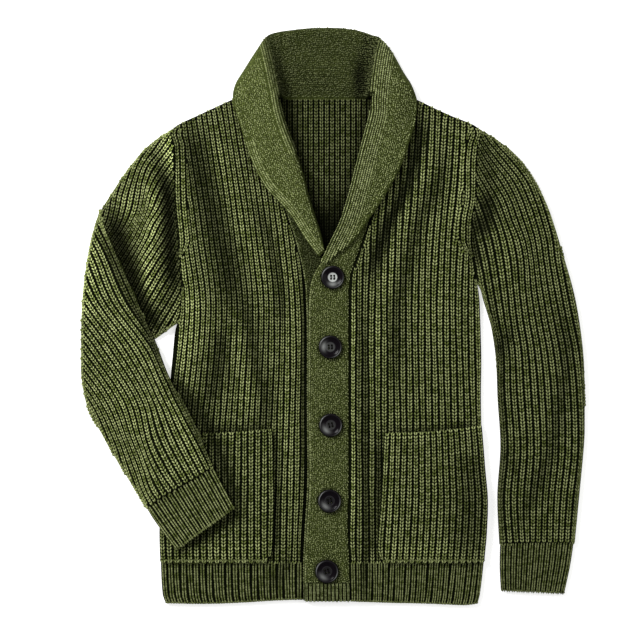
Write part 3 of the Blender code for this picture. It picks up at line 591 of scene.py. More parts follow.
def neck_rib(k, y):
    low, high, count = NECK_RIBS
    return low + (high - low) * (k + 0.5) / count, (high - low) / count


def neck_painted_shade(x, y, z):
    """Painted shade on the inside of the back: dim all over, with a painted shadow beside the
    collar, and darkest down in the V."""
    beside = min(x + 0.19 * y + 8.0, 0.19 * y - 4.0 - x)
    shadow = 0.3 * bell(max(beside, 0.0), 12)
    return (0.5 - shadow) * (0.06 + 0.94 * step((y - 116) / 72))


back = panel(
    "back_cloth", [SHOULDER + 5, SHOULDER + 2.5] + spread(SHOULDER, HEM_SEAM + 0.3, 40),
    back_limits, back_top, lambda x, y: 0.0, valley_shade_wool, 24,
)
back_ribs = knit(
    "back_ribs",
    straight_ribs(lambda x, y: (x, y, back_top(x, y)), NECK_RIBS[2], neck_rib, SHOULDER - 0.5,
                  NECK_LOW),
    rib_stitch, RIB_NOMINAL, COURSE, rib_wool, 3, tone_and_painted_light_at=neck_painted_shade,
)
dress(back, back_ribs, "back", 0.245)

# ------------------------------------------------------------------------------- Fronts
# Two fronts of the same rib knit. Two ribs follow each armhole, and the others end against
# them. Soft folds run down from the shoulders, and the cloth rises to the upper band.

SIDE_ROLL = 9.0        # how far in from a free side the cloth rounds off
SEAM_ROLL = 3.0        # and from a sewn one
EDGE_THICK = 1.2       # thickness at a free side
SEWN_THICK = 2.0       # and at a sewn one
BAND_THICK = 3.6
BAND_CROWN = 0.8       # how much higher the upper band's middle is
OVERBAND_LOW = FRONT_LOW + BAND_THICK + SEAM
FRONT_LOFT = 2.6       # air between the back and the fronts
UNDERARM_LEFT = 42.0   # heights at which the sleeves are sewn to the sides
UNDERARM_RIGHT = -10.0
SHOULDER_TIP = 244.0
RIGHT_FRONT_SEAM = (
    # y, x where the right front is sewn to its band
    (282, -102.5), (241.5, -96), (215.5, -89.5), (183, -79.5), (157, -70),
    (139, -63), (122, -57), (98.5, -49.5), (70, -42), (53, -38.5),
    (33.5, -36), (-18.5, -34.5), (-218.5, -34), (-273.5, -37), (-322, -39.5),
    (-375.5, -39.5),
)
LEFT_FRONT_SEAM = (
    (282, 79.5), (241.5, 71.5), (215.5, 66.5), (183, 61), (157, 57),
    (135, 51.5), (118, 45.5), (85.5, 34.5), (73, 30.5), (57, 24),
    (31, 21.5), (-95, 21), (-218.5, 21), (-291.5, 19.5), (-322, 22),
    (-375.5, 23),
)
RIGHT_FRONT_RIBS = (
    # y, x of the first rib's near edge at the band, x of the last rib's far edge
    (282, -70, -238), (176.5, -53.5, -221), (98.5, -43, -210.5),
    (7.5, -35, -200), (-174.5, -35, -219), (-322, -38, -225.5),
    (-375.5, -38, -219),
)
LEFT_FRONT_RIBS = (
    (282, 35, 209.5), (176.5, 30, 203), (98.5, 24.5, 195),
    (7.5, 22, 192), (-174.5, 21.5, 197), (-322, 22, 197.5),
    (-375.5, 23, 190),
)
JUNCTION = 98.0        # height at which the ribs along the armhole leave the panel
ARMHOLE_RIB = 7.4      # width of each of them
UNDER_POCKET = (-312.0, -170.0)    # the front has no ribs between these heights, well inside
# Besides their height, the folds paint light and shade on the stitches. Some rows are mostly
# painted shadows: the forearm's shadow on the front, and lines of shade along the collar's outer
# edges, beside the bands and above the pockets.
FRONT_FOLDS = (
    # half width, height (below 0 is a trough), then the points that it runs through
    (17, -2.5, (-188, 244), (-177, 203), (-165, 157), (-152, 112), (-138, 70),
     (-134, 31), (-137, 8)),
    (11, -2.2, (-143, -18), (-150, -73), (-162, -116)),
    (8, 2.3, (-197, -15), (-193, -60), (-187, -95)),
    (7, 1.6, (-198, 216), (-194, 151), (-192, 73), (-187, 21), (-181, -25)),
    (16, 1.7, (-183, 34), (-181, -18), (-186, -57)),
    (9, 1.1, (-152, 242), (-144, 203), (-133, 161), (-121, 125), (-110, 95),
     (-98, 62), (-84, 14)),
    (9, -1.75, (-121, 31), (-109, -12), (-99, -70), (-86, -107), (-87, -133),
     (-99, -156)),
    (9, 1.4, (-126, -12), (-121, -57), (-112, -90), (-113, -133)),
    (7, -1.7, (-100, 144), (-84, 105), (-74, 70), (-69, 31), (-66, -18)),
    (7, 1, (-73, 118), (-60, 79), (-53, 40), (-55, -31), (-60, -109),
     (-57, -239)),
    (4, -2.5, (-38, 70), (-36, 21), (-38, -109), (-35, -239), (-40, -369)),
    (6, -0.3, (-75, -146), (-77, -200), (-77, -265), (-73, -307)),
    (8, -1.6, (-56, -312), (-65, -333), (-82, -354)),
    (10, -3.2, (-209, -73), (-186, -112), (-164, -142), (-144, -190),
     (-127, -239), (-121, -259)),
    (8, -2.3, (-121, -258), (-153, -276), (-192, -299)),
    (8, 0.9, (-84, -298), (-134, -304), (-173, -312)),
    (8, -4.8, (117, 257), (110, 216), (100, 179), (87, 148), (71, 118),
     (61, 88), (48, 49)),
    (8, 1.1, (129, 244), (124, 209), (107, 161), (92, 127), (82, 92),
     (73, 57), (61, 10), (57, -44), (49, -109)),
    (9, -1.6, (144, 218), (142, 187), (133, 157), (116, 135), (105, 92),
     (95, 53), (83, 14), (82, -38), (82, -99)),
    (12, 1.2, (168, 244), (168, 203), (165, 156), (160, 112)),
    (22, 0.6, (139, 138), (134, 47), (126, -44)),
    (6, -2.2, (187, 143), (182, 105), (185, 62)),
    (6, -2.1, (37, 21), (39, -38), (40, -103), (41, -174), (43, -265),
     (40, -372)),
    (6, -0.2, (60, -161), (58, -239), (56, -312)),
    (8, 0.8, (75, -161), (74, -239), (77, -302)),
    (7, 1.2, (66, -303), (94, -307), (152, -303)),
    (24, -1.4, (186, -174), (181, -239), (178, -312)),
    (6, 0, (160, -137), (170, -141), (183, -156)),
    (3.5, -1.4, (67, -145), (95, -149.5), (147, -146.5), (174, -141), (182, -137)),
    (3.5, -1.4, (-166, -149), (-120, -147), (-89, -144.5)),
    (5, -0.3, (-133, 281), (-126.5, 259), (-118, 230), (-107, 197.5),
     (-90, 166), (-70, 143)),
    (4, 1.8, (26, 30), (25.5, -95), (25, -218), (24, -291)),
    (5, -1.2, (63, -150), (58, -240), (54, -305)),
    (4, -0.6, (-71, -160), (-71, -300)),
)


def fold_height(fold, x, y):
    """Height that a soft fold adds at places: bell-shaped across, fading at both ends."""
    half, height, *line = fold
    spans = [math.dist(a, b) for a, b in zip(line, line[1:])]
    nearest, along, run = np.full(x.shape, 1e9), np.zeros(x.shape), 0.0
    for (x0, y0), (x1, y1), span in zip(line, line[1:], spans):
        t = np.clip(((x - x0) * (x1 - x0) + (y - y0) * (y1 - y0)) / span**2, 0.0, 1.0)
        away = np.hypot(x - x0 - (x1 - x0) * t, y - y0 - (y1 - y0) * t)
        along = np.where(away < nearest, (run + span * t) / sum(spans), along)
        nearest = np.minimum(nearest, away)
        run += span
    fade = np.clip(0.3 + 4 * np.minimum(along, 1 - along), 0.0, 1.0)
    return height * fade * fade * (3 - 2 * fade) * np.exp(-((nearest / half) ** 2))


FOLD_GRID = 2.5
GRID_REACH = (350.0, 400.0)    # how far the folds' grid runs from the middle, across and along
fold_maps = {}


def folded(folds, x, y):
    """Height that all folds of a piece add at a place, read off a grid worked out once."""
    if not folds:
        return 0.0
    if id(folds) not in fold_maps:
        xs, ys = np.meshgrid(*(np.arange(-far, far + 2.0, FOLD_GRID) for far in GRID_REACH))
        fold_maps[id(folds)] = sum(fold_height(fold, xs, ys) for fold in folds)
    u, v = [(c + far) / FOLD_GRID for c, far in zip((x, y), GRID_REACH)]
    i, j = int(v), int(u)
    grid, s, t = fold_maps[id(folds)], u - j, v - i
    return float((grid[i, j] * (1 - s) + grid[i, j + 1] * s) * (1 - t)
                 + (grid[i + 1, j] * (1 - s) + grid[i + 1, j + 1] * s) * t)


def fold_painted_light(folds, x, y):
    """Painted shade in a fold's trough and painted light on its ridge: the deeper the trough, the
    darker, and the higher the ridge, the lighter.
    """
    height = folded(folds, x, y)
    return math.exp(0.52 * max(height, -6.0)) if height < 0 else min(1 + 0.34 * height, 2.5)


def front_lift(x, y):
    """Air between the back and a front."""
    inside = step((from_side(x, y) - 3) / 38) * step((y + 372.0) / 60) * step((285.0 - y) / 60)
    lift = max(FRONT_LOFT + folded(FRONT_FOLDS, x, y), 0.0) * inside
    if x > 0:
        rise = step(1.3 - (x - between(LEFT_FRONT_SEAM, y)) / 26) * step((165.0 - y) / 35)
        lift += (OVERBAND_LOW - FRONT_LOW - lift) * rise
    return lift


def front_under(x, y):
    return FRONT_LOW + front_lift(x, y)


def free_edge(x, y):
    """How free the side edge is: 0 where the sleeve is sewn on."""
    underarm = UNDERARM_LEFT if x > 0 else UNDERARM_RIGHT
    return max(step((underarm + 6 - y) / 12), step((y - SHOULDER_TIP + 4) / 8))


def edge_thick(x, y):
    """Thickness of the side edge, thinner where it is free."""
    return SEWN_THICK + (EDGE_THICK - SEWN_THICK) * free_edge(x, y)


def front_skin(x, y):
    """Outer face of a front between its ribs."""
    side, edge = from_side(x, y), edge_thick(x, y)
    radius = SEAM_ROLL + (SIDE_ROLL - SEAM_ROLL) * free_edge(x, y)
    seam = between(RIGHT_FRONT_SEAM, y) - x if x < 0 else x - between(LEFT_FRONT_SEAM, y)
    dip = 1.3 * (1 - roll(seam, SEAM_ROLL)) + SUNK * roll(min(side, seam), 4.0)
    return FRONT_LOW + edge + (CLOTH - edge + front_lift(x, y)) * roll(side, radius) - dip


def right_limits(y):
    return between(BODY_SIDES, y, 1), between(RIGHT_FRONT_SEAM, y)


def left_limits(y):
    return between(LEFT_FRONT_SEAM, y), between(BODY_SIDES, y, 2)


def armhole_band(y):
    """How wide the strip of two ribs along the armhole is at a height."""
    return 2 * ARMHOLE_RIB * step((y - JUNCTION + 26) / 26)


def front_guides(side, limits, ribs_table, ribs, table):
    """Guides of a front: its own ribs, left out well under the pocket, and two that follow
    the armhole down to the side."""
    def place(k, y):
        first, last = sides_at(ribs_table, y)
        pitch = (last - first) / ribs
        low, high = limits(y)
        strip = armhole_band(y) * (1 - step((y - 236) / 12))
        low += strip if side < 0 else 1.8
        high -= strip if side > 0 else 0.4 + 3.0 * step((75 - y) / 40)
        spot = fit_rib(first + k * pitch + sway(k, y), first + (k + 1) * pitch + sway(k + 1, y),
                       low, high)
        if spot and UNDER_POCKET[0] < y < UNDER_POCKET[1]:
            inner, outer = sides_at(table, y)
            return None if inner + 9 < spot[0] < outer - 9 else spot
        return spot

    def surface(x, y):
        return x, y, front_skin(x, y)

    def follow(k, y):
        strip = armhole_band(y)
        edge = between(BODY_SIDES, y, 1 if side < 0 else 2)
        return edge - side * strip * (k + 0.5) / 2, max(strip / 2, 3.0)

    guides = straight_ribs(surface, ribs, place, SHOULDER - 0.5, HEM_SEAM + 0.5)
    return guides + straight_ribs(surface, 2, follow, SHOULDER_TIP - 1, JUNCTION - 20)


RIGHT_POCKET = (
    # y, right edge x, left edge x, how much higher the left end of the section is
    (-155, -222, -80, 7.5), (-160, -222.3, -78, 6), (-174, -222.8, -77.3, 2),
    (-205, -223.2, -76.8, 0), (-240, -224.5, -76, 0), (-280, -226, -77, 0),
    (-306, -225.5, -78.5, 0), (-315, -225, -82.5, 0), (-320.2, -224.5, -90, 0),
)
LEFT_POCKET = (
    (-153.5, 66.5, 193.5, 10.5), (-158.5, 65.8, 194.4, 8.5), (-172, 65, 196, 3),
    (-200, 64, 198.4, 0), (-240, 62, 201.8, 0), (-285, 58, 200.3, 0),
    (-305, 57.5, 198.5, 0), (-315, 62, 197.5, 0), (-320.2, 69, 197, 0),
)


def over_mouth(table, x, y):
    """How far a place lies above its pocket's top edge, or far off it."""
    top, low, high, lift = table[0]
    if not low < x < high:
        return -99.0
    return y - top - lift * ((x - low) / (high - low)) ** 2


def front_painted_light(x, y, z):
    """Tone and painted light of a front: painted shade in its folds' troughs, painted light on
    their ridges, and a painted shadow line above and beside its pocket.
    """
    table = RIGHT_POCKET if x < 0 else LEFT_POCKET
    above = over_mouth(table, x, y)
    inner = between(table, y, 2 if x < 0 else 1)
    beside = (x - inner if x < 0 else inner - x) if -318 < y < table[0][0] else 99.0
    shadow = 1 - 0.65 * bell(above - 1.2, 2.2)
    shadow *= 1 - 0.5 * bell(beside - 3.0, 4.0)
    return 0.87 * fold_painted_light(FRONT_FOLDS, x, y) * shadow


for name, side, limits, ribs_table, ribs, pocket_table, area in (
    ("front_right", -1, right_limits, RIGHT_FRONT_RIBS, 24, RIGHT_POCKET, 0.104),
    ("front_left", 1, left_limits, LEFT_FRONT_RIBS, 21, LEFT_POCKET, 0.096),
):
    cloth = panel(
        f"{name}_cloth", spread(SHOULDER, HEM_SEAM + 0.3, 110), limits, front_skin, front_under,
        valley_shade_wool,
    )
    stitches = knit(
        f"{name}_ribs", front_guides(side, limits, ribs_table, ribs, pocket_table),
        rib_stitch, RIB_NOMINAL, COURSE, rib_wool, 11 + side, tone_and_painted_light_at=front_painted_light,
    )
    dress(cloth, stitches, name, area)

# -------------------------------------------------------------------------------- Hems
# The hem ribs, knitted on below the fronts and the back, in the same yarn.

HEM_DEEP = 45.7
HEM_DROOP = 7.5        # how much lower the hem hangs at the sides
HEM_COURSE = 3.2
CHAIN_WIDE = 3.0       # the chain that casts off an edge
CHAIN_COURSE = 3.4
chain_stitch = stitch("chain_stitch", 0.95, 0.75, 0.65, 2.6, CHAIN_COURSE)
hem_stitch = stitch("hem_stitch", 1.95, 0.5, 1.32, 2.3, 1.45 * HEM_COURSE)


def hem_low(x):
    """Height of the hem's lower edge, which droops towards the sides and beside the band."""
    low = -367.0 - HEM_DROOP * step((abs(x) - 40) / 150)
    low -= 3.0 * step((x + 240) / 150) * step((195 - x) / 25)
    return low - 3.2 * bell(x - 65, 50)


def hem_height(x, share):
    """Height of a place on the hem, at a share of its depth."""
    return HEM_SEAM + (hem_low(x) - HEM_SEAM) * share


def join(keep, other):
    """Make one mesh object of two."""
    bpy.ops.object.select_all(action="DESELECT")
    for item in (keep, other):
        item.select_set(True)
    bpy.context.view_layer.objects.active = keep
    bpy.ops.object.join()
    if keep.data.uv_layers.get("OFBake"):
        lay_map(keep.data)
    return keep


def cast_off(stitches, name, edge, seed, tone_and_painted_light_at):
    """Join the chain that casts off an edge, given by its points and directions."""
    guide = [(point, out, CHAIN_WIDE) for point, out in edge]
    return join(stitches, knit(f"{name}_edging", [guide], chain_stitch, CHAIN_WIDE, CHAIN_COURSE,
                               rib_wool, seed, 0.3, tone_and_painted_light_at=tone_and_painted_light_at))


def hem_wall(name, limits, top, under):
    outer, inner = [], []
    for share in (0.0, 0.06, 0.2, 0.4, 0.6, 0.8, 0.93, 0.985, 1.0):
        low, high = limits(HEM_SEAM - HEM_DEEP * share)
        rim = [(high - low) * s for s in (0.0, 0.004, 0.015, 0.035)]
        xs = rimmed(low, high, rim, 10, 30)
        ys = [hem_height(x, share) for x in xs]
        edge = 0.45 + 0.55 * roll((1 - share) * 46, 3.0)
        low_z = [under(x, y) for x, y in zip(xs, ys)]
        outer.append([(x, y, z + (top(x, y) - z) * edge) for x, y, z in zip(xs, ys, low_z)])
        inner.append(list(zip(xs, ys, low_z)))
    return wall(name, outer, inner, valley_shade_wool)


def hem_surface(x, share):
    y = hem_height(x, share)
    return x, y, front_skin(x, y) - 0.6 * step((share - 0.93) / 0.07)


def hem_spot(x, share):
    return hem_surface(x, share), normal_at(hem_surface, x, share, 0.6, -0.01)


hem_back = hem_wall(
    "hem_back_cloth", lambda y: sides_at(BODY_SIDES, y), lambda x, y: CLOTH, lambda x, y: 0.0,
)
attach(hem_back, "root")
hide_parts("hem_back")

for name, side, limits, ribs, area in (
    ("hem_front_right", -1, right_limits, 22, 0.0096),
    ("hem_front_left", 1, left_limits, 24, 0.0088),
):
    cloth = hem_wall(f"{name}_cloth", limits, front_skin, front_under)
    guides = []
    for k in range(ribs):
        guide = []
        for share in spread(0.03, 0.95, 10):
            y = HEM_SEAM - HEM_DEEP * share
            low, high = limits(y)
            pitch = (high - low) / ribs
            guide.append((*hem_spot(low + pitch * (k + 0.5) + sway(k, y), share), pitch * 0.96))
        guides.append(guide)
    stitches = knit(
        f"{name}_ribs", guides, hem_stitch, RIB_NOMINAL, HEM_COURSE, rib_wool, 21 + side,
        tone_and_painted_light_at=lambda x, y, z: 0.57 * fold_painted_light(FRONT_FOLDS, x, y),
    )
    low, high = limits(-366.0)
    edge = [hem_spot(x, 0.975) for x in spread(low + 1.5, high - 1.5, 40)]
    stitches = cast_off(stitches, name, edge, 25 + side, lambda x, y, z: 0.5)
    dress(cloth, stitches, name, area)

# ------------------------------------------------------------------------------ Pockets
# Two patch pockets of the same rib knit, sewn onto the fronts, with rounded lower corners
# towards the bands. A chain runs along their lower edge.

POCKET_GAP = 0.7        # air between a front's ribs and the pocket
POCKET_FOOT = -317.6    # height of the chain along its lower edge
RIBS_POCKET = 17

for name, side, table, area in (
    ("pocket_right", -1, RIGHT_POCKET, 0.0242), ("pocket_left", 1, LEFT_POCKET, 0.0232)
):
    def under(x, y):
        flat = FRONT_LOW + CLOTH + front_lift(x, y)
        round_off = (flat - FRONT_LOW - edge_thick(x, y)) * (1 - roll(from_side(x, y), SIDE_ROLL))
        return flat - round_off + RIB + POCKET_GAP

    def raised(x, y, table=table):
        low, high = sides_at(table, y)
        return y + between(table, y, 3) * clamp((x - low) / (high - low)) ** 2

    def surface(x, y, table=table):
        low, high = sides_at(table, y)
        edge = min(x - low, high - x)
        ends = min(-152.0 - y, y + 321.5)
        thick = CLOTH * (0.45 + 0.55 * roll(edge, SEAM_ROLL) * (0.5 + 0.5 * roll(ends, 4.0)))
        return x, raised(x, y), under(x, y) + thick - SUNK * roll(edge, 4.0)

    def place(k, y, table=table, side=side):
        low, high = sides_at(table, y)
        one, two = (low, -76.0) if side < 0 else (66.5 + 0.054 * (y + 153.5), high)
        pitch = (two - one) / RIBS_POCKET
        near, far = [one + n * pitch + sway(n, y, 0.3) for n in (k, k + 1)]
        return fit_rib(near, far, low + 0.3, high - 0.3)

    top = table[0][0]
    outer, inner = [], []
    for y in (top, top - 2, *spread(top - 5, -306, 32), -311.0, -315.0, -318.0, -320.2):
        xs = rimmed(*sides_at(table, y), (0.0, 0.5, 1.5, 3.5), 7, 40)
        outer.append([surface(x, y) for x in xs])
        inner.append([(x, raised(x, y), under(x, y)) for x in xs])
    cloth = wall(f"{name}_cloth", outer, inner, valley_shade_wool)
    # The pocket's ribs get painted light near its top edge, besides the folds' painted light and
    # shade.
    stitches = knit(
        f"{name}_ribs", straight_ribs(surface, RIBS_POCKET, place, top - 0.9, -319.0, 4.0),
        rib_stitch, RIB_NOMINAL, COURSE, rib_wool, 31 + side,
        tone_and_painted_light_at=lambda x, y, z, table=table: fold_painted_light(FRONT_FOLDS, x, y) * (
            0.9 + 0.35 * step((over_mouth(table, x, y) + 9) / 7)),
    )
    low, high = sides_at(table, POCKET_FOOT)
    foot = [(surface(x, POCKET_FOOT), normal_at(surface, x, POCKET_FOOT))
            for x in spread(low + 1.5, high - 1.5, 40)]
    stitches = cast_off(stitches, name, foot, 35 + side,
                        lambda x, y, z: 0.6 * fold_painted_light(FRONT_FOLDS, x, y))
    dress(cloth, stitches, name, area)

# ------------------------------------------------------------------------------ Sleeves
# The left sleeve lies straight beside the body. The right one is bent: its upper arm runs
# down from the armhole, and its forearm is folded over it, the front and the pocket.

LEFT_SLEEVE = (
    # x_in,  y_in,  x_out,  y_out, high, fit to the armhole
    (187.4, 42, 191.3, 243, 8.6, 1),
    (188.2, 41, 213, 230, 9.6, 0.55),
    (189.2, 39.5, 236.5, 211.5, 10.6, 0.25),
    (190.8, 37, 260, 181.5, 11.2, 0.1),
    (192.8, 32.5, 281, 140, 11.6, 0),
    (196, 20, 299, 84, 11.8, 0),
    (201.5, 2, 313.5, 33.5, 11.6, 0),
    (207, -18.5, 321.5, -8, 11.6, 0),
    (212.5, -58, 327, -56, 11.4, 0),
    (214.7, -109.5, 328.4, -109, 11.2, 0),
    (218.3, -170, 328, -160, 10.8, 0),
    (214.3, -235, 322, -228, 10.4, 0),
    (217, -298, 315.5, -295.5, 10, 0),
)
LEFT_CUFF = (
    (218, -298.4, 314, -296, 8.4), (217.5, -328, 309.5, -326, 8.6),
    (219, -357.3, 302, -361, 8.2),
)
# Besides their height, the sleeves' folds paint light and shade on the stitches. The rows along the
# straight sleeve's two edges paint the shade of its sides, the deep trough on the upper arm along
# the forearm's inner edge paints the forearm's shadow, and the forearm's first two rows paint the
# shade along that edge.
SLEEVE_FOLDS = (
    (10, -1.2, (196, 231), (200, 196), (205, 164)),
    (9, -3.6, (200, 160), (202, 132), (195, 104)),
    (7, -2.6, (186, 135), (183, 99), (188, 62)),
    (12, 0.9, (224, 122), (228, 86), (220, 44)),
    (8, -1.9, (216, -52), (222, -37), (231, -18)),
    (9, -1.5, (299, 14), (305, -44), (301, -90), (293, -128), (286, -172),
     (269, -213), (253, -248), (240, -280)),
    (10, -0.3, (283, 21), (290, -57)),
    (10, -0.7, (217, -177), (233, -190), (243, -213)),
    (9, -0.05, (237, -103), (243, -161)),
    (12, 0.4, (254, 144), (264, 99)),
    (5, -1.5, (201, 33), (210, -5), (217, -44), (218, -96), (222, -174),
     (217, -240), (221, -299)),
    (6, -0.8, (296, 95), (312, 50), (322, 0), (326, -50), (327, -100),
     (325, -174), (318, -240), (312, -299)),
)
UPPER_ARM_FOLDS = (
    (9, -6, (-221, 187), (-214, 151), (-212, 118), (-212, 86), (-209, 53),
     (-207, 31)),
    (6.5, 2.4, (-244, 179), (-235, 153), (-233, 131), (-238, 99), (-242, 66),
     (-239, 34), (-234, 8)),
    (12.5, -5.6, (-290, 135), (-280, 99), (-269, 70), (-260, 40), (-250, 18),
     (-238, -3), (-226, -24)),
    (9, 4.2, (-212, 239), (-209, 216), (-204, 187)),
    (7, 1.2, (-269, 156), (-259, 130)),
    (6, -1.3, (-235, 216), (-225, 192), (-222, 174)),
    (8, -1, (-217, 31), (-214, 5)),
)
FOREARM_FOLDS = (
    (5, -3.6, (-302, 108), (-284, 70), (-266, 30), (-247, -10),
     (-233, -40), (-217, -77)),
    (5, -2.6, (-217, -77), (-201, -105), (-187, -130), (-171, -164),
     (-158, -194)),
    (12, 1.9, (-312, 99), (-316, 47), (-321, -5)),
    (14, 0.4, (-292, -3), (-270, -21), (-251, -44)),
    (12, -0.3, (-173, -213), (-196, -221), (-217, -229)),
    (9, 2, (-152, -239), (-178, -259), (-204, -278)),
    (10, 0.6, (-290, -83), (-266, -122), (-248, -161)),
    (9, 0.8, (-212, -109), (-191, -148), (-173, -187)),
)
FOREARM = (
    # x_in,    y_in,   x_out,  y_out
    (-301.5, 137, -305, 136.5), (-300, 124.5, -309.8, 119), (-295, 110, -316, 95.5),
    (-279.5, 75, -323.5, 52.5), (-261.5, 35, -327.5, 7.5),
    (-243, -7, -328.5, -38), (-229, -38, -328, -80),
    (-213, -78, -319, -123), (-197.5, -106, -302.5, -152),
    (-183.5, -131, -289, -176.5), (-167.5, -165, -268, -211),
    (-154.8, -195.5, -243.2, -250),
)
RIGHT_CUFF = (
    (-154.8, -195.9, -242.2, -249.8, 9), (-141, -222, -223.8, -276, 9),
    (-127.5, -247.5, -204, -303, 8.4),
)
UPPER_ARM = (
    # x_in,    y_in,   x_out,  y_out,  high, low, fit to the armhole
    (-204.5, -10, -209.3, 243.4, 8.6, 0, 1),
    (-211, -14.5, -239, 223, 11, 0, 0.5),
    (-217.5, -20, -266, 192.5, 12.2, 0, 0.2),
    (-224, -25, -289.5, 158.5, 9.6, 0.6, 0),
    (-233, -31, -304.3, 135, 7.6, 0.6, 0),
    (-243, -36, -311.3, 117, 6.4, 0.6, 0),
)
RIBS_CUFF = 13
FOLD_THICK = 13.5      # thickness of the forearm
OVER_BODY = 9.8        # height of the front that it lies on
OVER_POCKET = 6.4      # and how much higher the pocket is


def resample(table, at):
    """Section of a table at a place counted in rows, on smooth curves through its rows."""
    at = min(max(at, 0.0), len(table) - 1.0)
    i = min(int(at), len(table) - 2)
    t = at - i
    before, after = table[max(i - 1, 0)], table[min(i + 2, len(table) - 1)]
    row = []
    for p, a, b, n in zip(before, table[i], table[i + 1], after):
        bend = 2 * p - 5 * a + 4 * b - n
        value = a + 0.5 * t * (b - p + t * (bend + t * (3 * (a - b) + n - p)))
        row.append(min(max(value, min(a, b)), max(a, b)))
    return row


def part_way(section, share):
    """Place at a share of the way from a section's inner edge to its outer one."""
    x_in, y_in, x_out, y_out = section[:4]
    return x_in + (x_out - x_in) * share, y_in + (y_out - y_in) * share


def armhole_bow(share, chord):
    """How far the armhole lies from the straight line between its two ends."""
    x, y = part_way(chord, share)
    return between(BODY_SIDES, y, 2 if x > 0 else 1) - math.copysign(0.5, x) - x


def under_forearm(x, y):
    """Top of what the bent sleeve lies on: the table, the front, and the front's pocket."""
    body = step((x - between(BODY_SIDES, y, 1) + 30.0) / 26)
    return body * (OVER_BODY + OVER_POCKET * step((-116.0 - y) / 24))


def tube_surface(table, high_of, floor, fit_column=None, folds=()):
    """Outer face of a laid tube as a function of share around and place along its table.
    Shares below 0 and above 1 run on round the edge to its underside."""
    def surface(share, at):
        section = resample(table, at)
        width = math.hypot(section[2] - section[0], section[3] - section[1])
        below = share < 0 or share > 1
        share = -share if share < 0 else 2 - share if share > 1 else share
        x, y = part_way(section, share)
        fit = section[fit_column] if fit_column else 0.0
        if fit > 0:
            x += armhole_bow(share, table[0]) * fit
        low = floor(x, y)
        high = high_of(section, x, y, low)
        middle = high * 0.42
        edge = min(share, 1 - share) * width
        if below:
            return x, y, low + middle * (1 - roll(edge, 7.0))
        rise = roll(edge, min(SIDE_ROLL, 0.5 * width))
        drop = max(folded(folds, x, y), -0.45 * high) * rise
        return x, y, low + middle + (high - RIB - SUNK * rise - middle) * rise + drop
    return surface


def width_of(table, at):
    x_in, y_in, x_out, y_out = resample(table, at)[:4]
    return math.hypot(x_out - x_in, y_out - y_in)


def tube_cloth(name, table, surface, rows):
    """Wall of a laid tube: its outer face all round, and an inner one a wall's thickness in."""
    shares = sorted({0.0, 0.006, 0.02, 0.045, 0.08, *spread(0.12, 0.88, 34), 0.92, 0.955, 0.98,
                     0.994, 1.0})
    shares += [1.02, 1.06, 1.2, 1.4] + [s - 2 for s in (1.6, 1.8, 1.94, 1.98)]
    outer, inner = [], []
    for at in rows:
        outer.append([surface(u, at) for u in shares])
        inset = 2.6 / width_of(table, at)
        ring = []
        for u in shares:
            share = -u if u < 0 else 2 - u if u > 1 else u
            over = surface(share, at)[2]
            under = surface(-max(share, 1e-6) if share < 0.5 else 1 + max(1 - share, 1e-6), at)[2]
            x, y, _ = surface(min(max(share, inset), 1 - inset), at)
            thick = min(2.4, 0.42 * (over - under))
            z = over - thick if 0 <= u <= 1 else under + thick
            if share < 1e-4 or share > 1 - 1e-4:
                z = 0.5 * (over + under)
            ring.append((x, y, z))
        inner.append(ring)
    return wall(name, outer, inner, valley_shade_wool, wrapped=True)


def tube_guides(surface, rows, ribs_at, table):
    """Guides along a tube: ribs_at(at) gives each rib's share and width there. Ribs lie
    deeper where the tube turns round its edges, and end under it."""
    facing = -1 if table[0][2] > table[0][0] else 1
    guides = []
    for rib in zip(*(ribs_at(at) for at in rows)):
        spots = []
        for at, (share, wide) in zip(rows, rib):
            out = facing * normal_at(surface, share, at, 0.004, 0.03)
            edge = min(share, 1 - share) * width_of(table, at)
            point = Vector(surface(share, at)) - out * 1.3 * (1 - step(edge / 7))
            below = out.z < -0.35 and point.z < 3.0
            spots.append(None if below else (tuple(point), out, wide))
        guides += unbroken(spots)
    return guides


def even_ribs(table, ribs):
    """Ribs at even shares of every section, and one more round each edge."""
    def shares(at):
        wide = width_of(table, at) / ribs
        return [((k + 0.5) / ribs, wide) for k in range(-1, ribs + 1)]
    return shares


def points_of(cloth):
    """A piece's points in the tables' millimetres."""
    return [v.co / MM - Vector((*SHIFT, 0.0)) for v in cloth.data.vertices]


def draped(cloth):
    """Top of a laid piece, as a function from a place to its point and outward direction."""
    tree = BVHTree.FromPolygons(points_of(cloth), [p.vertices for p in cloth.data.polygons])

    def top(x, y):
        hit = tree.ray_cast(Vector((x, y, 90.0)), Vector((0, 0, -1)))[0]
        return hit.z if hit else None

    def spot(x, y):
        z = top(x, y)
        if z is None:
            return None
        sides = [top(x - 1.5, y), top(x + 1.5, y), top(x, y - 1.5), top(x, y + 1.5)]
        west, east, south, north = [z - 3.0 if side is None else side for side in sides]
        return (x, y, z), Vector((west - east, south - north, 3.0)).normalized()

    return spot


def drawn_ribs(spot, count, path, ts):
    """Guides of ribs drawn on a laid piece. path(s, t) is the place s across and t along. A
    rib narrows where it runs off the piece's side."""
    guides = []
    across = spread(0.04, 0.96, 9)
    for k in range(count):
        spots = []
        for t in ts:
            here, ahead = path((k + 0.5) / count, t), path((k + 0.5) / count, t + 0.01)
            near, far = path(k / count, t), path((k + 1) / count, t)
            run = Vector((ahead[0] - here[0], ahead[1] - here[1])).normalized()
            wide = abs(run.x * (far[1] - near[1]) - run.y * (far[0] - near[0]))
            on = [s for s in across if spot(*path((k + s) / count, t))]
            if len(on) > 2:
                found = spot(*path((k + sum(on) / len(on)) / count, t))
                spots.append((*found, min(max(wide, 4.5), 10.5) * (len(on) / 9)))
            else:
                spots.append(None)
        guides += unbroken(spots)
    return guides


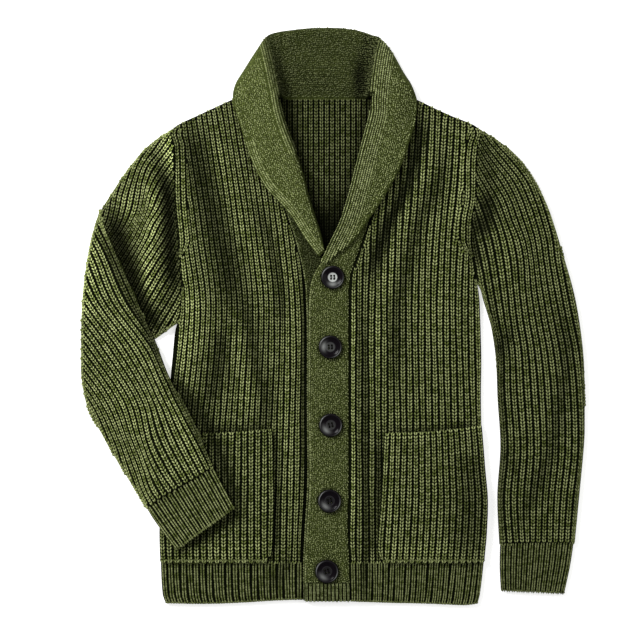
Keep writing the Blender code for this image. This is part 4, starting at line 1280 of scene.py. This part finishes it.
def on_table(x, y):
    return 0.0


def given_height(section, x, y, low):
    return section[4]


# Tone and painted light of a sleeve: body scales the whole sleeve, with painted light on the bent
# sleeve that lies towards the large soft box, and its folds paint light and shade.
def sleeve_painted_light(folds, body):
    return lambda x, y, z: body * fold_painted_light(folds, x, y)


def facing_up(surface, share, at):
    """Outward direction on a tube's upper face."""
    out = normal_at(surface, share, at, 0.004, -0.03)
    return out if out.z > 0 else -out


def knitted_tube(name, table, high_of, floor, fit, folds, ribs_at, seed, rows_between,
                 more_ribs=None, tone=1.0, yarn_stitch=None, course=COURSE):
    """Cloth and stitches of one laid tube. One with its own stitch ends in a cast-off chain."""
    surface = tube_surface(table, high_of, floor, fit, folds)
    ends = len(table) - 1
    rows = spread(0.0, ends, ends * rows_between + 1)
    cloth = tube_cloth(f"{name}_cloth", table, surface, rows)
    guides = tube_guides(surface, rows, ribs_at, table)
    if more_ribs:
        guides += more_ribs(draped(cloth))
    stitches = knit(
        f"{name}_ribs", guides, yarn_stitch or rib_stitch, RIB_NOMINAL, course, rib_wool, seed,
        tone_and_painted_light_at=sleeve_painted_light(folds, tone),
    )
    if yarn_stitch:
        last = ends - 0.02
        edge = [(surface(share, last), facing_up(surface, share, last))
                for share in spread(0.02, 0.98, 24)]
        stitches = cast_off(stitches, name, edge, seed + 9, sleeve_painted_light(folds, 0.75 * tone))
    return cloth, stitches


LEFT_SLEEVE_RIBS = (
    # y, then x of the edge of rib 0, 3, 6, 9 and 12, counted from the sleeve's inner edge
    (241.5, 113.1, 145.6, 169, 186.6, 205.4), (222, 126.1, 158.6, 182, 199.6, 221),
    (202.5, 136.5, 169.7, 193.1, 213.8, 240.5), (176.5, 152.1, 185.2, 208.4, 234, 260),
    (150.5, 167.7, 200.2, 223.6, 246.7, 271.1), (124.5, 179.7, 210.1, 232.7, 255.7, 279.5),
    (98.5, 186.9, 217.1, 243, 263, 286), (72.5, 192.8, 221.9, 248.4, 266.9, 289.2),
    (33.5, 199.7, 227, 250.6, 272.4, 296.4), (-5.5, 208, 231.1, 255.7, 279.2, 304.2),
    (-44.5, 215.2, 236.6, 262.2, 286.7, 312), (-96.5, 215.3, 239.2, 266.9, 292.5, 317.2),
    (-174.5, 219.7, 244, 270.5, 293.8, 319.2), (-239.5, 214.5, 239.8, 265.3, 287.9, 312.5),
    (-299.3, 218.4, 243.2, 263.4, 285.9, 308.1),
)
UPPER_ARM_RIBS = (
    # y, then x of the edge of rib -3, 0, 3, 6 and 9, counted from the armhole's upper end
    (241.5, -231.4, -205.8, -179.4, -154.7, -127.4), (215.5, -251.6, -224.9, -196.3, -169, -141.7),
    (196, -260.7, -240.6, -211.9, -183.3, -154.7), (176.5, -267.7, -247.7, -227, -199.6, -170.3),
    (157, -274.2, -250.9, -236, -211.9, -184.6), (137.5, -278.3, -254.9, -241.4, -222.6, -198.9),
    (118, -284.8, -264.3, -250.9, -234, -210), (98.5, -299, -278.2, -260.7, -241.8, -221),
    (59.5, -328.9, -305.5, -287.3, -264.6, -244.4), (20.5, -356.2, -332.8, -310.7, -288.6, -266.5),
    (-38, -396.5, -373.1, -349.7, -326.3, -300.9),
)
FOREARM_RIBS = (
    # y, then x of the edge of rib 0, 3, 6, 9, 12 and 15, counted from the outer edge
    (137, -453, -427, -401, -375, -349, -316),
    (85.5, -425, -398, -371, -343, -316, -290.8),
    (20.5, -398, -370.5, -343, -316, -288.6, -261),
    (-44.5, -352, -325, -297.8, -269.8, -242.5, -221),
    (-109.5, -303.9, -280.2, -256.2, -233.4, -211.4, -192),
    (-161.5, -278.5, -261.3, -241.7, -213.6, -184.3, -164),
    (-200.5, -264.4, -245.1, -223.7, -192.8, -164.6, -143),
    (-226.5, -253.5, -235.3, -206.7, -176.8, -149.5, -128),
    (-259, -235.3, -212, -183.3, -153.4, -127, -105),
)


def rib_edge(table, first, index, y, before, after):
    """x of a rib's edge at a height. Past the table's columns the edges lie evenly."""
    last = len(table[0]) - 2
    place = (index - first) / 3
    if place <= 0:
        return between(table, y, 1) + place * 3 * before
    if place >= last:
        return between(table, y, last + 1) + (place - last) * 3 * after
    k = int(place)
    return between(table, y, k + 1) * (1 - place + k) + between(table, y, k + 2) * (place - k)


def slanted_ribs(table, first, start, count, top, deep, before, after, steps):
    """Ribs of a sleeve, which leave its upper edge at a slant and soon turn down. They are
    counted from start, and run down from the top."""
    def path(share, t):
        y = top - deep * t
        return rib_edge(table, first, start + count * share, y, before, after), y

    return lambda spot: drawn_ribs(spot, count, path, spread(0.0, 1.0, steps))


def edge_ribs(table):
    """Ribs that follow a sleeve's two edges, one on each and one under it."""
    def shares(at):
        width = width_of(table, at)
        return [(-3.6 / width, 7.0), (2.6 / width, 5.6), (1 - 2.6 / width, 5.6),
                (1 + 3.6 / width, 7.0)]
    return shares


def knit_cuff(name, table, floor, seed, tone):
    cloth, stitches = knitted_tube(
        name, table, given_height, floor, None, (), even_ribs(table, RIBS_CUFF), seed, 6, None,
        tone, hem_stitch, HEM_COURSE,
    )
    dress(cloth, stitches, name, None)


def forearm_high(section, x, y, low):
    """Thickness of the forearm, least at the elbow's tip."""
    return 7.5 + (FOLD_THICK - 0.12 * low - 7.5) * step((139.0 - y) / 50)


cloth, stitches = knitted_tube(
    "sleeve_left", LEFT_SLEEVE, given_height, on_table, 5, SLEEVE_FOLDS, edge_ribs(LEFT_SLEEVE),
    41, 8,
    slanted_ribs(LEFT_SLEEVE_RIBS, 0, -3, 18, SHOULDER_TIP - 1, 540.5, 8.6, 8.0, 120), 0.78,
)
dress(cloth, stitches, "sleeve_left", 0.13)
knit_cuff("cuff_left", LEFT_CUFF, on_table, 42, 0.5)

forearm, forearm_knit = knitted_tube(
    "sleeve_right", FOREARM, forearm_high, under_forearm, None, FOREARM_FOLDS,
    edge_ribs(FOREARM), 43, 8,
    slanted_ribs(FOREARM_RIBS, 0, -5, 23, 139.0, 394.0, 6.4, 8.0, 96), 1.22,
)
upper, upper_knit = knitted_tube(
    "upper_arm", UPPER_ARM, lambda section, x, y, low: section[4] - section[5], on_table, 6,
    UPPER_ARM_FOLDS, edge_ribs(UPPER_ARM), 44, 12,
    slanted_ribs(UPPER_ARM_RIBS, -3, -8, 29, SHOULDER_TIP - 1, 281.0, 6.6, 8.85, 76), 1.2,
)
join(forearm, upper)
join(forearm_knit, upper_knit)
dress(forearm, forearm_knit, "sleeve_right", 0.15)
knit_cuff("cuff_right", RIGHT_CUFF, under_forearm, 45, 0.73)

# -------------------------------------------------------------------------------- Bands
# The lower button band and the buttonhole band over it: dense fine knit in the same yarn,
# with a few courses of ribbing at the bottom.

BUTTON_BAND = (
    # y, edge nearer the right side, edge nearer the left side
    (139, -62.5, -43), (122, -56.5, -35), (98.5, -49, -24.5), (83, -45, -18),
    (70, -41.5, -6), (53, -38, 9), (33.5, -35.5, 15), (-18.5, -34, 15),
    (-109.5, -34, 15), (-218.5, -33.5, 14), (-273.5, -36.5, 12), (-328, -39, 13),
    (-370.5, -39, 13),
)
BUTTONHOLE_BAND = (
    (127, 37, 48), (112, 27, 43.2), (98.5, 17, 38.7), (83, 0, 33.3),
    (66, -17, 27), (50.5, -26, 22.8), (31, -30, 21.2), (-5.5, -31.3, 20.7),
    (-109.5, -31.5, 20.7), (-218.5, -30.5, 20.7), (-273.5, -33.5, 19.6), (-328, -36.5, 21.6),
    (-371.5, -36.5, 22.4),
)
WALE = 4.0             # one column of V stitches along an edge
FINE_COURSE = 3.3
STRAND = 2.6           # strands of the dense knit lie this far apart
BUTTONS = (
    # x, y, turn, how pale the middle is, where the painted highlight in the dish lies, how strong
    # it is
    (-0.5, 50, 0, 0.95, -90, 0.45), (-3.5, -40.5, 2, 0.1, 175, 0.5),
    (-3, -142, 13, 0.06, -135, 0.4), (-4.5, -240.5, 15, 0.02, -130, 0.36),
    (-8, -332, 15, 0.02, -125, 0.3),
)
BAND_RIB_TOP = -348.5  # the ribbing at the bottom of the band starts here
NARROW_RIB = 4.9       # width of the rib that its stitch is drawn for


def short_strand(name, thick, high, length):
    """One short strand as it shows between the others in a dense knit, in millimetres."""
    points = [(0.0, -0.5 * length, 0.0)]
    for y in (-0.2 * length, 0.2 * length):
        points += [(-thick, y, 0.0), (0.0, y, high), (thick, y, 0.0)]
    points.append((0.0, 0.5 * length, 0.0))
    faces = []
    for k in range(3):
        n = (k + 1) % 3
        faces += [(0, 1 + n, 1 + k), (1 + k, 1 + n, 4 + n, 4 + k), (4 + k, 4 + n, 7)]
    return bit_of_yarn(name, points, faces, [0.2, 0.3, 1.0, 0.3, 0.3, 1.0, 0.3, 0.2])


def paint_cloth_tone_and_light(cloth, tone_and_painted_light_at):
    """Mark the tone and the painted light and shade of the ground between the stitches."""
    carry(cloth.data, "tone", [tone_and_painted_light_at(*place) for place in points_of(cloth)])


def band_painted_shade(table, over):
    """Tone and painted shade of the bands. The lower band lies in painted shade, lighter along its
    edge nearer the right side. The upper one gets painted shade along its seam and a painted shadow
    ring round each button, and is darker in its ribbing."""
    def tone(x, y, z):
        low, high = sides_at(table, y)
        if not over:
            return 0.34 + 0.4 * bell(x - low, 4)
        near = min(math.hypot(x - button[0], y - button[1]) for button in BUTTONS)
        # Painted shadow ring round each button.
        ring = 0.6 * bell(near - 15.4, 2.0)
        seam = 0.3 * bell(high - x, 3)
        return (1.04 - seam) * (1 - ring) * (1 if y > BAND_RIB_TOP else 0.8)
    return tone


fine_stitch = stitch("fine_stitch", 1.15, 0.85, 0.78, 1.35, FINE_COURSE)
narrow_stitch = stitch("narrow_stitch", 0.95, 0.3, 0.75, 1.9, 1.45 * HEM_COURSE)
edge_stitch = stitch("edge_stitch", 1.2, 0.9, 0.7, 1.2, 2.5)
dense_strand = short_strand("dense_strand", 0.62, 1.2, 2.9)
fine_wool = wool("dense_knit_wool_yarn", "#262c10", "#57612c", "#a9b27b", 0.5, uneven=0.4,
                 fleck=800.0)
# The ground between the dense knit's strands is darker than its yarn: painted shade between the
# strands.
ground_shade_wool = wool("dense_knit_wool_ground_shade", "#000000", "#252b10", "#657039", 0.8,
                   shaded=False, fleck=800.0)

for name, table, low_z, crown, area, below in (
    ("button_band", BUTTON_BAND, FRONT_LOW, 0.0, 0.0240, "back"),
    ("buttonhole_band", BUTTONHOLE_BAND, OVERBAND_LOW, BAND_CROWN, 0.0255, "button_band"),
):
    top, foot = table[0][0], table[-1][0]

    def surface(x, y, table=table, low_z=low_z, crown=crown, foot=foot):
        low, high = sides_at(table, y)
        share = clamp((x - low) / (high - low))
        edge = roll(min(share, 1 - share) * (high - low), 2.5)
        ends = 0.6 + 0.4 * roll(y - foot, 2.5)
        return x, y, low_z + (0.8 + (BAND_THICK - 1.2) * edge) * ends + crown * math.sin(
            math.pi * share)

    cloth = panel(
        f"{name}_cloth", spread(top, foot + 6, 90) + [foot + d for d in (3.0, 1.2, 0.3, 0.0)],
        lambda y, table=table: sides_at(table, y), lambda x, y: surface(x, y)[2],
        lambda x, y, low_z=low_z: low_z, ground_shade_wool, 16,
    )

    def strand_line(k, y, table=table):
        low, high = sides_at(table, y)
        x = high - 0.6 - STRAND * (k + 0.5)
        return (x, STRAND) if x > low + 2.2 and y > BAND_RIB_TOP else None

    def rib_wale(k, y, table=table):
        low, high = sides_at(table, y)
        wide = (high - low) / 12
        return (low + wide * (k + 0.5), wide) if y < BAND_RIB_TOP else None

    def edge_wale(k, y, table=table):
        return (between(table, y, 1) + 1.3, 2.9) if y > BAND_RIB_TOP else None

    def wales(count, place):
        return straight_ribs(surface, count, place, top - 1, foot + 1.4, 4.0)

    tone = band_painted_shade(table, crown > 0)
    paint_cloth_tone_and_light(cloth, lambda x, y, z, tone=tone: tone(x, y, z) * (
        1 if y > BAND_RIB_TOP else 0.35))
    stitches = knit(
        f"{name}_knit", wales(21, strand_line), dense_strand, STRAND, STRAND, fine_wool,
        51 + round(crown), 1.5, tone, 0.5, 2.0,
    )
    # The rim wale is lighter: painted light on the band's rounded edge.
    rim = knit(
        f"{name}_rim", wales(1, edge_wale), fine_stitch, WALE, FINE_COURSE, fine_wool,
        55 + round(crown), 0.2, lambda x, y, z, tone=tone: min(1.2 * tone(x, y, z), 1.0),
    )
    ribbing = knit(
        f"{name}_ribbing", wales(12, rib_wale), narrow_stitch, NARROW_RIB, HEM_COURSE, fine_wool,
        57 + round(crown), 0.2, lambda x, y, z, tone=tone: 0.85 * tone(x, y, z), 0.4,
    )
    stitches = join(join(stitches, rim), ribbing)
    dress(cloth, stitches, name, area)

# ------------------------------------------------------------------------------- Collar
# The shawl collar: one piece of dense knit folded over round the neck, its wales running
# along it. Behind the neck its stand shows from the inside, up to the fold at the top.

COLLAR = (
    # x_in,  y_in,  x_out,  y_out, z_in, z_mid, z_out, seat_in, seat
    (-10.5, 84, -18, 76.5, 12.4, 12.2, 11.8, 7.6, 7.6),
    (-15.5, 107.5, -35, 98.5, 16, 15, 13, 3.5, 9),
    (-23.5, 132.5, -52, 126, 20, 18, 15, 3.5, 10.6),
    (-30.5, 154.5, -66.5, 144, 23, 20.5, 15.8, 3.5, 10.8),
    (-39, 187, -87, 166, 25, 22, 16.2, 3.5, 10.8),
    (-48, 214, -104, 197.5, 26, 23, 16.2, 3.5, 10.8),
    (-60, 244, -115.5, 230, 27, 23.5, 16.2, 3.5, 10.8),
    (-66.5, 265, -124, 259, 28, 24, 16.2, 3.5, 10.8),
    (-69.5, 280, -130.5, 281, 29, 25, 15.5, 3.5, 10),
    (-71, 284, -127.5, 301.5, 29.5, 25.5, 14, 3.5, 4),
    (-70, 284.2, -117, 320, 29.5, 26, 14, 0, 0),
    (-69, 284.4, -101, 345, 29.5, 27, 17, 0, 0),
    (-67.5, 284.5, -87, 364, 28, 27, 20, 0, 0),
    (-62.5, 282.2, -73, 369.8, 9.5, 14, 20, 0, 0),
    (-53, 281.6, -54, 372.8, 6.6, 10.5, 18, 0, 0),
    (-31, 281.4, -32, 375.2, 6.2, 9.6, 17, 0, 0),
    (-9, 281.4, -9, 376, 6.2, 9.6, 16.5, 0, 0),
    (13, 281.4, 14, 375, 6.2, 9.6, 17, 0, 0),
    (33, 281.6, 36, 371.3, 6.6, 10, 18, 0, 0),
    (42.5, 282.2, 51, 366.2, 9.5, 13, 20, 0, 0),
    (47.5, 284.4, 61, 362.5, 28, 26.5, 20.5, 0, 0),
    (49, 284.4, 76, 346.5, 29, 26.5, 17, 0, 0),
    (50, 284.2, 92, 318.5, 29.5, 26, 14, 0, 0),
    (51, 284, 102.5, 301, 29.5, 25.5, 14, 3.5, 4),
    (50.5, 279, 109.5, 280, 29, 25, 15.5, 3.5, 10),
    (48.5, 266, 108.5, 263.5, 28, 24, 16.2, 3.5, 10.8),
    (45, 250, 105.5, 246, 27.5, 24, 16.4, 3.5, 10.8),
    (36.5, 219, 99, 225, 27, 23.5, 16.6, 3.5, 10.8),
    (29, 189.5, 87, 191.5, 26.5, 23.5, 17.5, 3.5, 12),
    (22.5, 163.5, 66, 153.5, 25.5, 23, 18.8, 3.5, 13.8),
    (10.5, 124.5, 43.5, 120.5, 22.5, 21, 18.2, 3.5, 13.8),
    (-1, 100, 24, 94.5, 19, 18.2, 16.6, 3.5, 12.2),
    (-14.5, 71.5, -9.5, 68.3, 15.6, 15.4, 15.2, 11.6, 11.6),
)


def collar_point(d, at):
    """Point of the collar's upper face at a distance from the neck edge, in a section."""
    section = resample(COLLAR, at)
    z_in, z_mid, z_out, seat_in, seat = section[4:]
    width = width_of(COLLAR, at)
    share = clamp(d / width)
    reach = min(1.0, width / 40.0)
    free_round = (2.4 + 5.0 * step((6.0 - seat) / 6.0)) * reach
    if share < 0.5:
        top = z_in + (z_mid - z_in) * step(share * 2) ** 0.9
        edge, low = roll(d, 5.0 * reach), seat_in + 1.2
    else:
        top = z_mid + (z_out - z_mid) * (share * 2 - 1) ** 1.4
        edge, low = roll(width - d, free_round), seat + 1.2
    return *part_way(section, share), low + (top - 0.4 - low) * edge


def collar_under(share, at):
    section = resample(COLLAR, at)
    seat_in, seat = section[7:]
    low = seat_in + (seat - seat_in) * clamp((share - 0.22) / 0.18)
    return *part_way(section, share), low


ends = len(COLLAR) - 1
outer, inner = [], []
for at in spread(0.0, ends, 4 * ends + 1):
    width = width_of(COLLAR, at)
    reach = min(1.0, width / 40.0)
    ds = [0.0, 0.03, 0.1, 0.3, 0.7, 1.3, 2.2, 3.4, 5.0]
    ds = [d * reach for d in ds] + spread(7.0 * reach, width - 7.5 * reach, 14)
    ds += [width - d * reach for d in (5.5, 3.6, 2.2, 1.2, 0.5, 0.15, 0.0)]
    outer.append([collar_point(d, at) for d in ds])
    inner.append([collar_under(d / width, at) for d in ds])
collar = wall("collar_cloth", outer, inner, ground_shade_wool)
# Lines along the collar, from its lower end upwards: its two roll edges, and its outer edges.
ROLL_EDGE_RIGHT = [row[:2] for row in COLLAR[:9]] + [
    (-71.0, 290.0), (-74.5, 306.0), (-79.5, 330.0), (-86.0, 357.0), (-88.5, 368.0)]
ROLL_EDGE_LEFT = [row[:2] for row in COLLAR[:-9:-1]] + [
    (48.5, 279.0), (49.0, 286.0), (51.5, 310.0), (56.0, 340.0), (61.0, 361.0), (62.5, 368.0)]
COLLAR_WALE = 3.0
LOBE_EDGE = [row[2:4] for row in COLLAR[:7]]
RIGHT_LOBE_EDGE = [row[2:4] for row in COLLAR[24:]]    # outer edge of the lower right lobe


def offset_line(line, distance):
    """A line set off sideways from another, resampled finely."""
    fine = [resample(line, k / 4) for k in range(4 * (len(line) - 1) + 1)]
    moved = []
    for k, point in enumerate(fine):
        before, after = fine[max(k - 2, 0)], fine[min(k + 2, len(fine) - 1)]
        dx, dy = after[0] - before[0], after[1] - before[1]
        run = math.hypot(dx, dy)
        moved.append((point[0] + distance * dy / run, point[1] - distance * dx / run))
    return moved


def laid_line(spot, line, wide):
    """Guides of one wale drawn on a laid piece, every 5 mm along a line."""
    spots = []
    for a, b in zip(line, line[1:]):
        pieces = max(int(math.dist(a, b) / 5), 1)
        for k in range(pieces):
            found = spot(a[0] + (b[0] - a[0]) * k / pieces, a[1] + (b[1] - a[1]) * k / pieces)
            spots.append(found and (*found, wide))
    return unbroken(spots)


def away(line, x, y):
    """Distance from a place to a line."""
    nearest = 1e9
    for (x0, y0), (x1, y1) in zip(line, line[1:]):
        run = (x1 - x0) ** 2 + (y1 - y0) ** 2
        t = clamp(((x - x0) * (x1 - x0) + (y - y0) * (y1 - y0)) / run)
        nearest = min(nearest, math.hypot(x - x0 - (x1 - x0) * t, y - y0 - (y1 - y0) * t))
    return nearest


def stand_sides(y):
    """Where the stand shows between the collar's two roll edges at a height."""
    up = max((y - 284) / 84, 0.0) ** 1.3
    return -70.5 - 18.0 * up, 48.5 + 14.0 * up


def collar_painted_light(x, y, z):
    """Tone and painted light of the collar. The stand gets painted shade, deepest in its hollow on
    the left, in its corner beside the right roll edge and along its foot, and stripes across its
    right part. The lobes get painted light, the right one most, with painted shade along the right
    roll edge and on the left lobe's upper outer half, and a painted highlight along the left lobe's
    lower outer edge."""
    left, right = stand_sides(y)
    within = step((x - left + 2) / 4) * step((right + 2 - x) / 4) * step((y - 283.0) / 3)
    hollow = math.exp(-(((x - 34) / 10) ** 2) - ((y - 312) / 26) ** 2)
    corner = bell(x - left - 3, 7)
    strip = bell(y - 290.0, 6.0)
    ridges = 0.2 * math.sin(y * 2 * math.pi / 5.6) * step((14 - x) / 20) * step((330 - y) / 10)
    stand = (0.66 + ridges) * (1 - 0.85 * hollow - 0.4 * corner) - 0.12 * strip
    if x < -8:
        # Painted shade along the right roll edge, stronger higher up.
        roll_edge_shade = 0.42 + 0.53 * step((y - 280) / 20)
        lobe = 1.4 - roll_edge_shade * bell(away(ROLL_EDGE_RIGHT, x, y), 8)
    else:
        lobe = 1.28 - 0.3 * step((x - 0.34 * y + 22) / 30) * step((y - 225) / 40)
        # Painted highlight along this lobe's lower outer edge.
        lobe += 0.25 * bell(away(RIGHT_LOBE_EDGE, x, y), 6)
    return lobe * (1 - within) + within * stand


def ground_painted_shade(x, y, z):
    """The ground gets painted shade between the wales along the left roll edge, besides the
    collar's painted light and shade.
    """
    shade = 0.65 * step((24 - away(ROLL_EDGE_LEFT, x, y)) / 5) if x > -8 else 0.0
    return collar_painted_light(x, y, z) * (1 - shade)


on_collar = draped(collar)


def on_lobe(x, y):
    """The collar without the wales along its lower right outer edge."""
    return on_collar(x, y) if y > 229 or away(LOBE_EDGE, x, y) > 11.2 else None


def inside(line):
    """The part of a line that lies on the collar, a little in from its outline."""
    return [
        p for p in line
        if all(on_collar(p[0] + dx, p[1] + dy) for dx, dy in ((2, 0), (-2, 0), (0, 2), (0, -2)))
    ]


wales, strands = [], []
for k in range(8):
    line = offset_line(ROLL_EDGE_LEFT, COLLAR_WALE * (k + 0.5) - 1.4)
    wales += laid_line(on_collar, line, COLLAR_WALE * 0.8)
for k in range(4):
    line = offset_line(LOBE_EDGE, 2.8 * (k + 0.5) + 0.6)
    wales += laid_line(on_collar, line, 2.3)
    line = offset_line(ROLL_EDGE_RIGHT[5:], -COLLAR_WALE * (k + 0.5) + 1.4)
    wales += laid_line(on_collar, line, COLLAR_WALE * 0.75)
for k in range(32):
    across = STRAND * (k + 0.5)
    line = offset_line(ROLL_EDGE_RIGHT, -across)
    line = line if across > 12 else [p for p in line if p[1] < 222]
    strands += laid_line(on_lobe, inside(line), STRAND)
for k in range(25):
    line = offset_line(ROLL_EDGE_LEFT, COLLAR_WALE * 8 - 1.4 + STRAND * (k + 0.5))
    strands += laid_line(on_collar, inside(line), STRAND)
for k in range(34):
    line = []
    for x in spread(-90.0, 64.0, 78):
        top = 375.5 - 0.0026 * (x + 8) ** 2
        y = 285.0 + (top - 285.0) * (k + 0.5) / 34
        left, right = stand_sides(y)
        if left - 1.0 < x < right + 1.0:
            line.append((x, y))
    strands += laid_line(on_collar, inside(line), STRAND)

paint_cloth_tone_and_light(collar, ground_painted_shade)
collar_knit = join(
    knit("collar_knit", strands, dense_strand, STRAND, STRAND, fine_wool, 61, 1.5, collar_painted_light,
         0.5, 1.6),
    knit("collar_wales", wales, edge_stitch, WALE, 2.5, fine_wool, 62, 0.3,
         lambda x, y, z: 1.15 * collar_painted_light(x, y, z), 0.4),
)
dress(collar, collar_knit, "collar", 0.052)

# ------------------------------------------------------------------------------ Buttons
# Five turned buttons of dark horn, each a rimmed dish with four holes, sewn on with two
# bars of dark thread.

BUTTON_BASE = OVERBAND_LOW + BAND_THICK + BAND_CROWN + SEAM
BUTTON_PROFILE = (
    # radius, height
    (0, 2.2), (5.2, 2.25), (5.7, 2.5), (6.3, 2.35), (7.2, 2.5), (8.2, 2.75), (9.3, 3.08),
    (10.4, 3.45), (11.7, 4.15), (12.5, 4.5), (13.1, 4.62), (13.7, 4.58), (14.3, 4.3),
    (15, 3.6), (15.2, 2.6), (14.8, 1.6),
    (13.4, 0.7), (9.5, 0.05), (0, 0),
)
HOLE_RADIUS = 1.4
HOLE_OFFSET = 2.9      # from the button's middle


def horn(name):
    """Dark horn: nearly black with cloudy brown, mixed towards pale grey where a button is pale and
    where it carries a painted highlight in its dish and on its rim.
    """
    material, tree, shader = start_material(name, {"Roughness": 0.2, "Specular IOR Level": 0.06})
    place = add_node(tree, "ShaderNodeTexCoord").outputs["Object"]
    cloud = add_node(tree, "ShaderNodeTexNoise", None, {
        "Vector": place, "Scale": 140.0, "Detail": 3.0, "Distortion": 1.2}).outputs["Fac"]
    smoke = mixed(tree, cloud, linear("#040306"), linear("#130d12"))
    colour = mixed(tree, mark(tree, "pale_and_highlight"), smoke, linear("#b3b6b2"))
    tree.links.new(colour, shader.inputs["Base Color"])
    return material


def turned(x, y, angle):
    """Where a place comes to lie after a turn round the origin."""
    return x * math.cos(angle) - y * math.sin(angle), x * math.sin(angle) + y * math.cos(angle)


def turned_button(name, material):
    """One button's mesh, turned from its profile and bored with four holes."""
    turns = 48
    points, faces = [(0.0, 0.0, BUTTON_PROFILE[0][1])], []
    for radius, height in BUTTON_PROFILE[1:-1]:
        for k in range(turns):
            angle = 2 * math.pi * k / turns
            points.append((radius * math.cos(angle), radius * math.sin(angle), height))
    points.append((0.0, 0.0, BUTTON_PROFILE[-1][1]))
    rings = len(BUTTON_PROFILE) - 2
    for k in range(turns):
        n = (k + 1) % turns
        faces.append((0, 1 + k, 1 + n))
        for ring in range(rings - 1):
            a, b = 1 + ring * turns, 1 + (ring + 1) * turns
            faces.append((a + k, b + k, b + n, a + n))
        last = 1 + (rings - 1) * turns
        faces.append((last + k, len(points) - 1, last + n))
    mesh = bpy.data.meshes.new(name)
    mesh.from_pydata([tuple(c * MM for c in p) for p in points], [], faces)
    mesh.materials.append(material)
    item = show(name, mesh)
    drills = []
    for corner in range(4):
        angle = math.radians(45 + 90 * corner)
        bpy.ops.mesh.primitive_cylinder_add(
            vertices=16, radius=HOLE_RADIUS * MM, depth=12 * MM,
            location=(HOLE_OFFSET * math.cos(angle) * MM, HOLE_OFFSET * math.sin(angle) * MM, 0),
        )
        drill = bpy.context.object
        drills.append(drill)
        bore = item.modifiers.new("hole", "BOOLEAN")
        bore.operation = "DIFFERENCE"
        bore.solver = "EXACT"
        bore.object = drill
    bored = as_shown(item)
    for tool in (item, *drills):
        bpy.data.objects.remove(tool)
    return bored


def paleness_and_highlight(x, y, middle, highlight_angle, strength):
    """How pale the horn is at a place on a button: its middle, a painted highlight in its dish and
    a painted highlight on its rim.
    """
    radius, angle = math.hypot(x, y), math.atan2(y, x)
    off = abs(math.remainder(angle - math.radians(highlight_angle), 2 * math.pi))
    # Painted highlights: a soft one in the dish and a thin one on the rim.
    dish = strength * math.exp(-(((radius - 9.0) / 2.6) ** 2) - (off / 0.6) ** 2)
    rim = bell(radius - 13.7, 0.45) * (0.02 + 0.45 * math.cos(angle + 0.7) ** 6)
    ring = 0.04 * bell(radius - 6.3, 0.4)
    return (middle if radius < 5.8 else 0.0) + dish + rim + ring


def thread_bars(turn):
    """Points and faces of the two bars of thread that cross a button's middle."""
    points, faces = [], []
    for side in (-1, 1):
        start = len(points)
        for k in range(9):
            t = k / 8
            y = (t - 0.5) * 2 * HOLE_OFFSET * 0.78
            z = 2.15 + 1.0 * math.sin(math.pi * t)
            for c in range(8):
                angle = 2 * math.pi * c / 8
                x = side * HOLE_OFFSET * 0.707 + 0.62 * math.cos(angle)
                up = z + 0.5 * math.sin(angle)
                points.append((*turned(x, y, turn), up))
        for k in range(8):
            for c in range(8):
                n = (c + 1) % 8
                a, b = start + 8 * k, start + 8 * (k + 1)
                faces.append((a + c, a + n, b + n, b + c))
        faces.append([start + c for c in range(8)])
        faces.append([start + 64 + c for c in reversed(range(8))])
    return points, faces


thread = wool("sewing_thread", "#050505", "#0c0b0c", "#171517", 0.3, shaded=False, with_tone_and_painted_light=False)
for number, (x, y, turn, middle, highlight_angle, strength) in enumerate(BUTTONS, 1):
    turn = math.radians(turn)
    name = f"button_{number}_horn"
    mesh = turned_button(name, horn(f"dark_horn_{number}"))
    carry(mesh, "pale_and_highlight", [
        paleness_and_highlight(v.co.x / MM, v.co.y / MM, middle, highlight_angle - math.degrees(turn), strength)
        for v in mesh.vertices
    ])
    for v in mesh.vertices:
        across, along = turned(v.co.x, v.co.y, turn)
        v.co = (across + (x + SHIFT[0]) * MM, along + (y + SHIFT[1]) * MM,
                v.co.z + BUTTON_BASE * MM)
    mesh.shade_smooth()
    mesh.set_sharp_from_angle(angle=math.radians(40))
    button = show(name, mesh)
    points, faces = thread_bars(turn)
    bars = make_object(
        f"button_{number}_thread", [(p[0] + x, p[1] + y, p[2] + BUTTON_BASE) for p in points],
        faces, thread,
    )
    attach(button, "root")
    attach(bars, "root")
    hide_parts(f"button_{number}")

# The stitches that the knitting repeated aren't pieces of the garment, so they go.
for tool in (rib_stitch, hem_stitch, chain_stitch, fine_stitch, narrow_stitch, edge_stitch,
             dense_strand):
    bpy.data.objects.remove(tool)
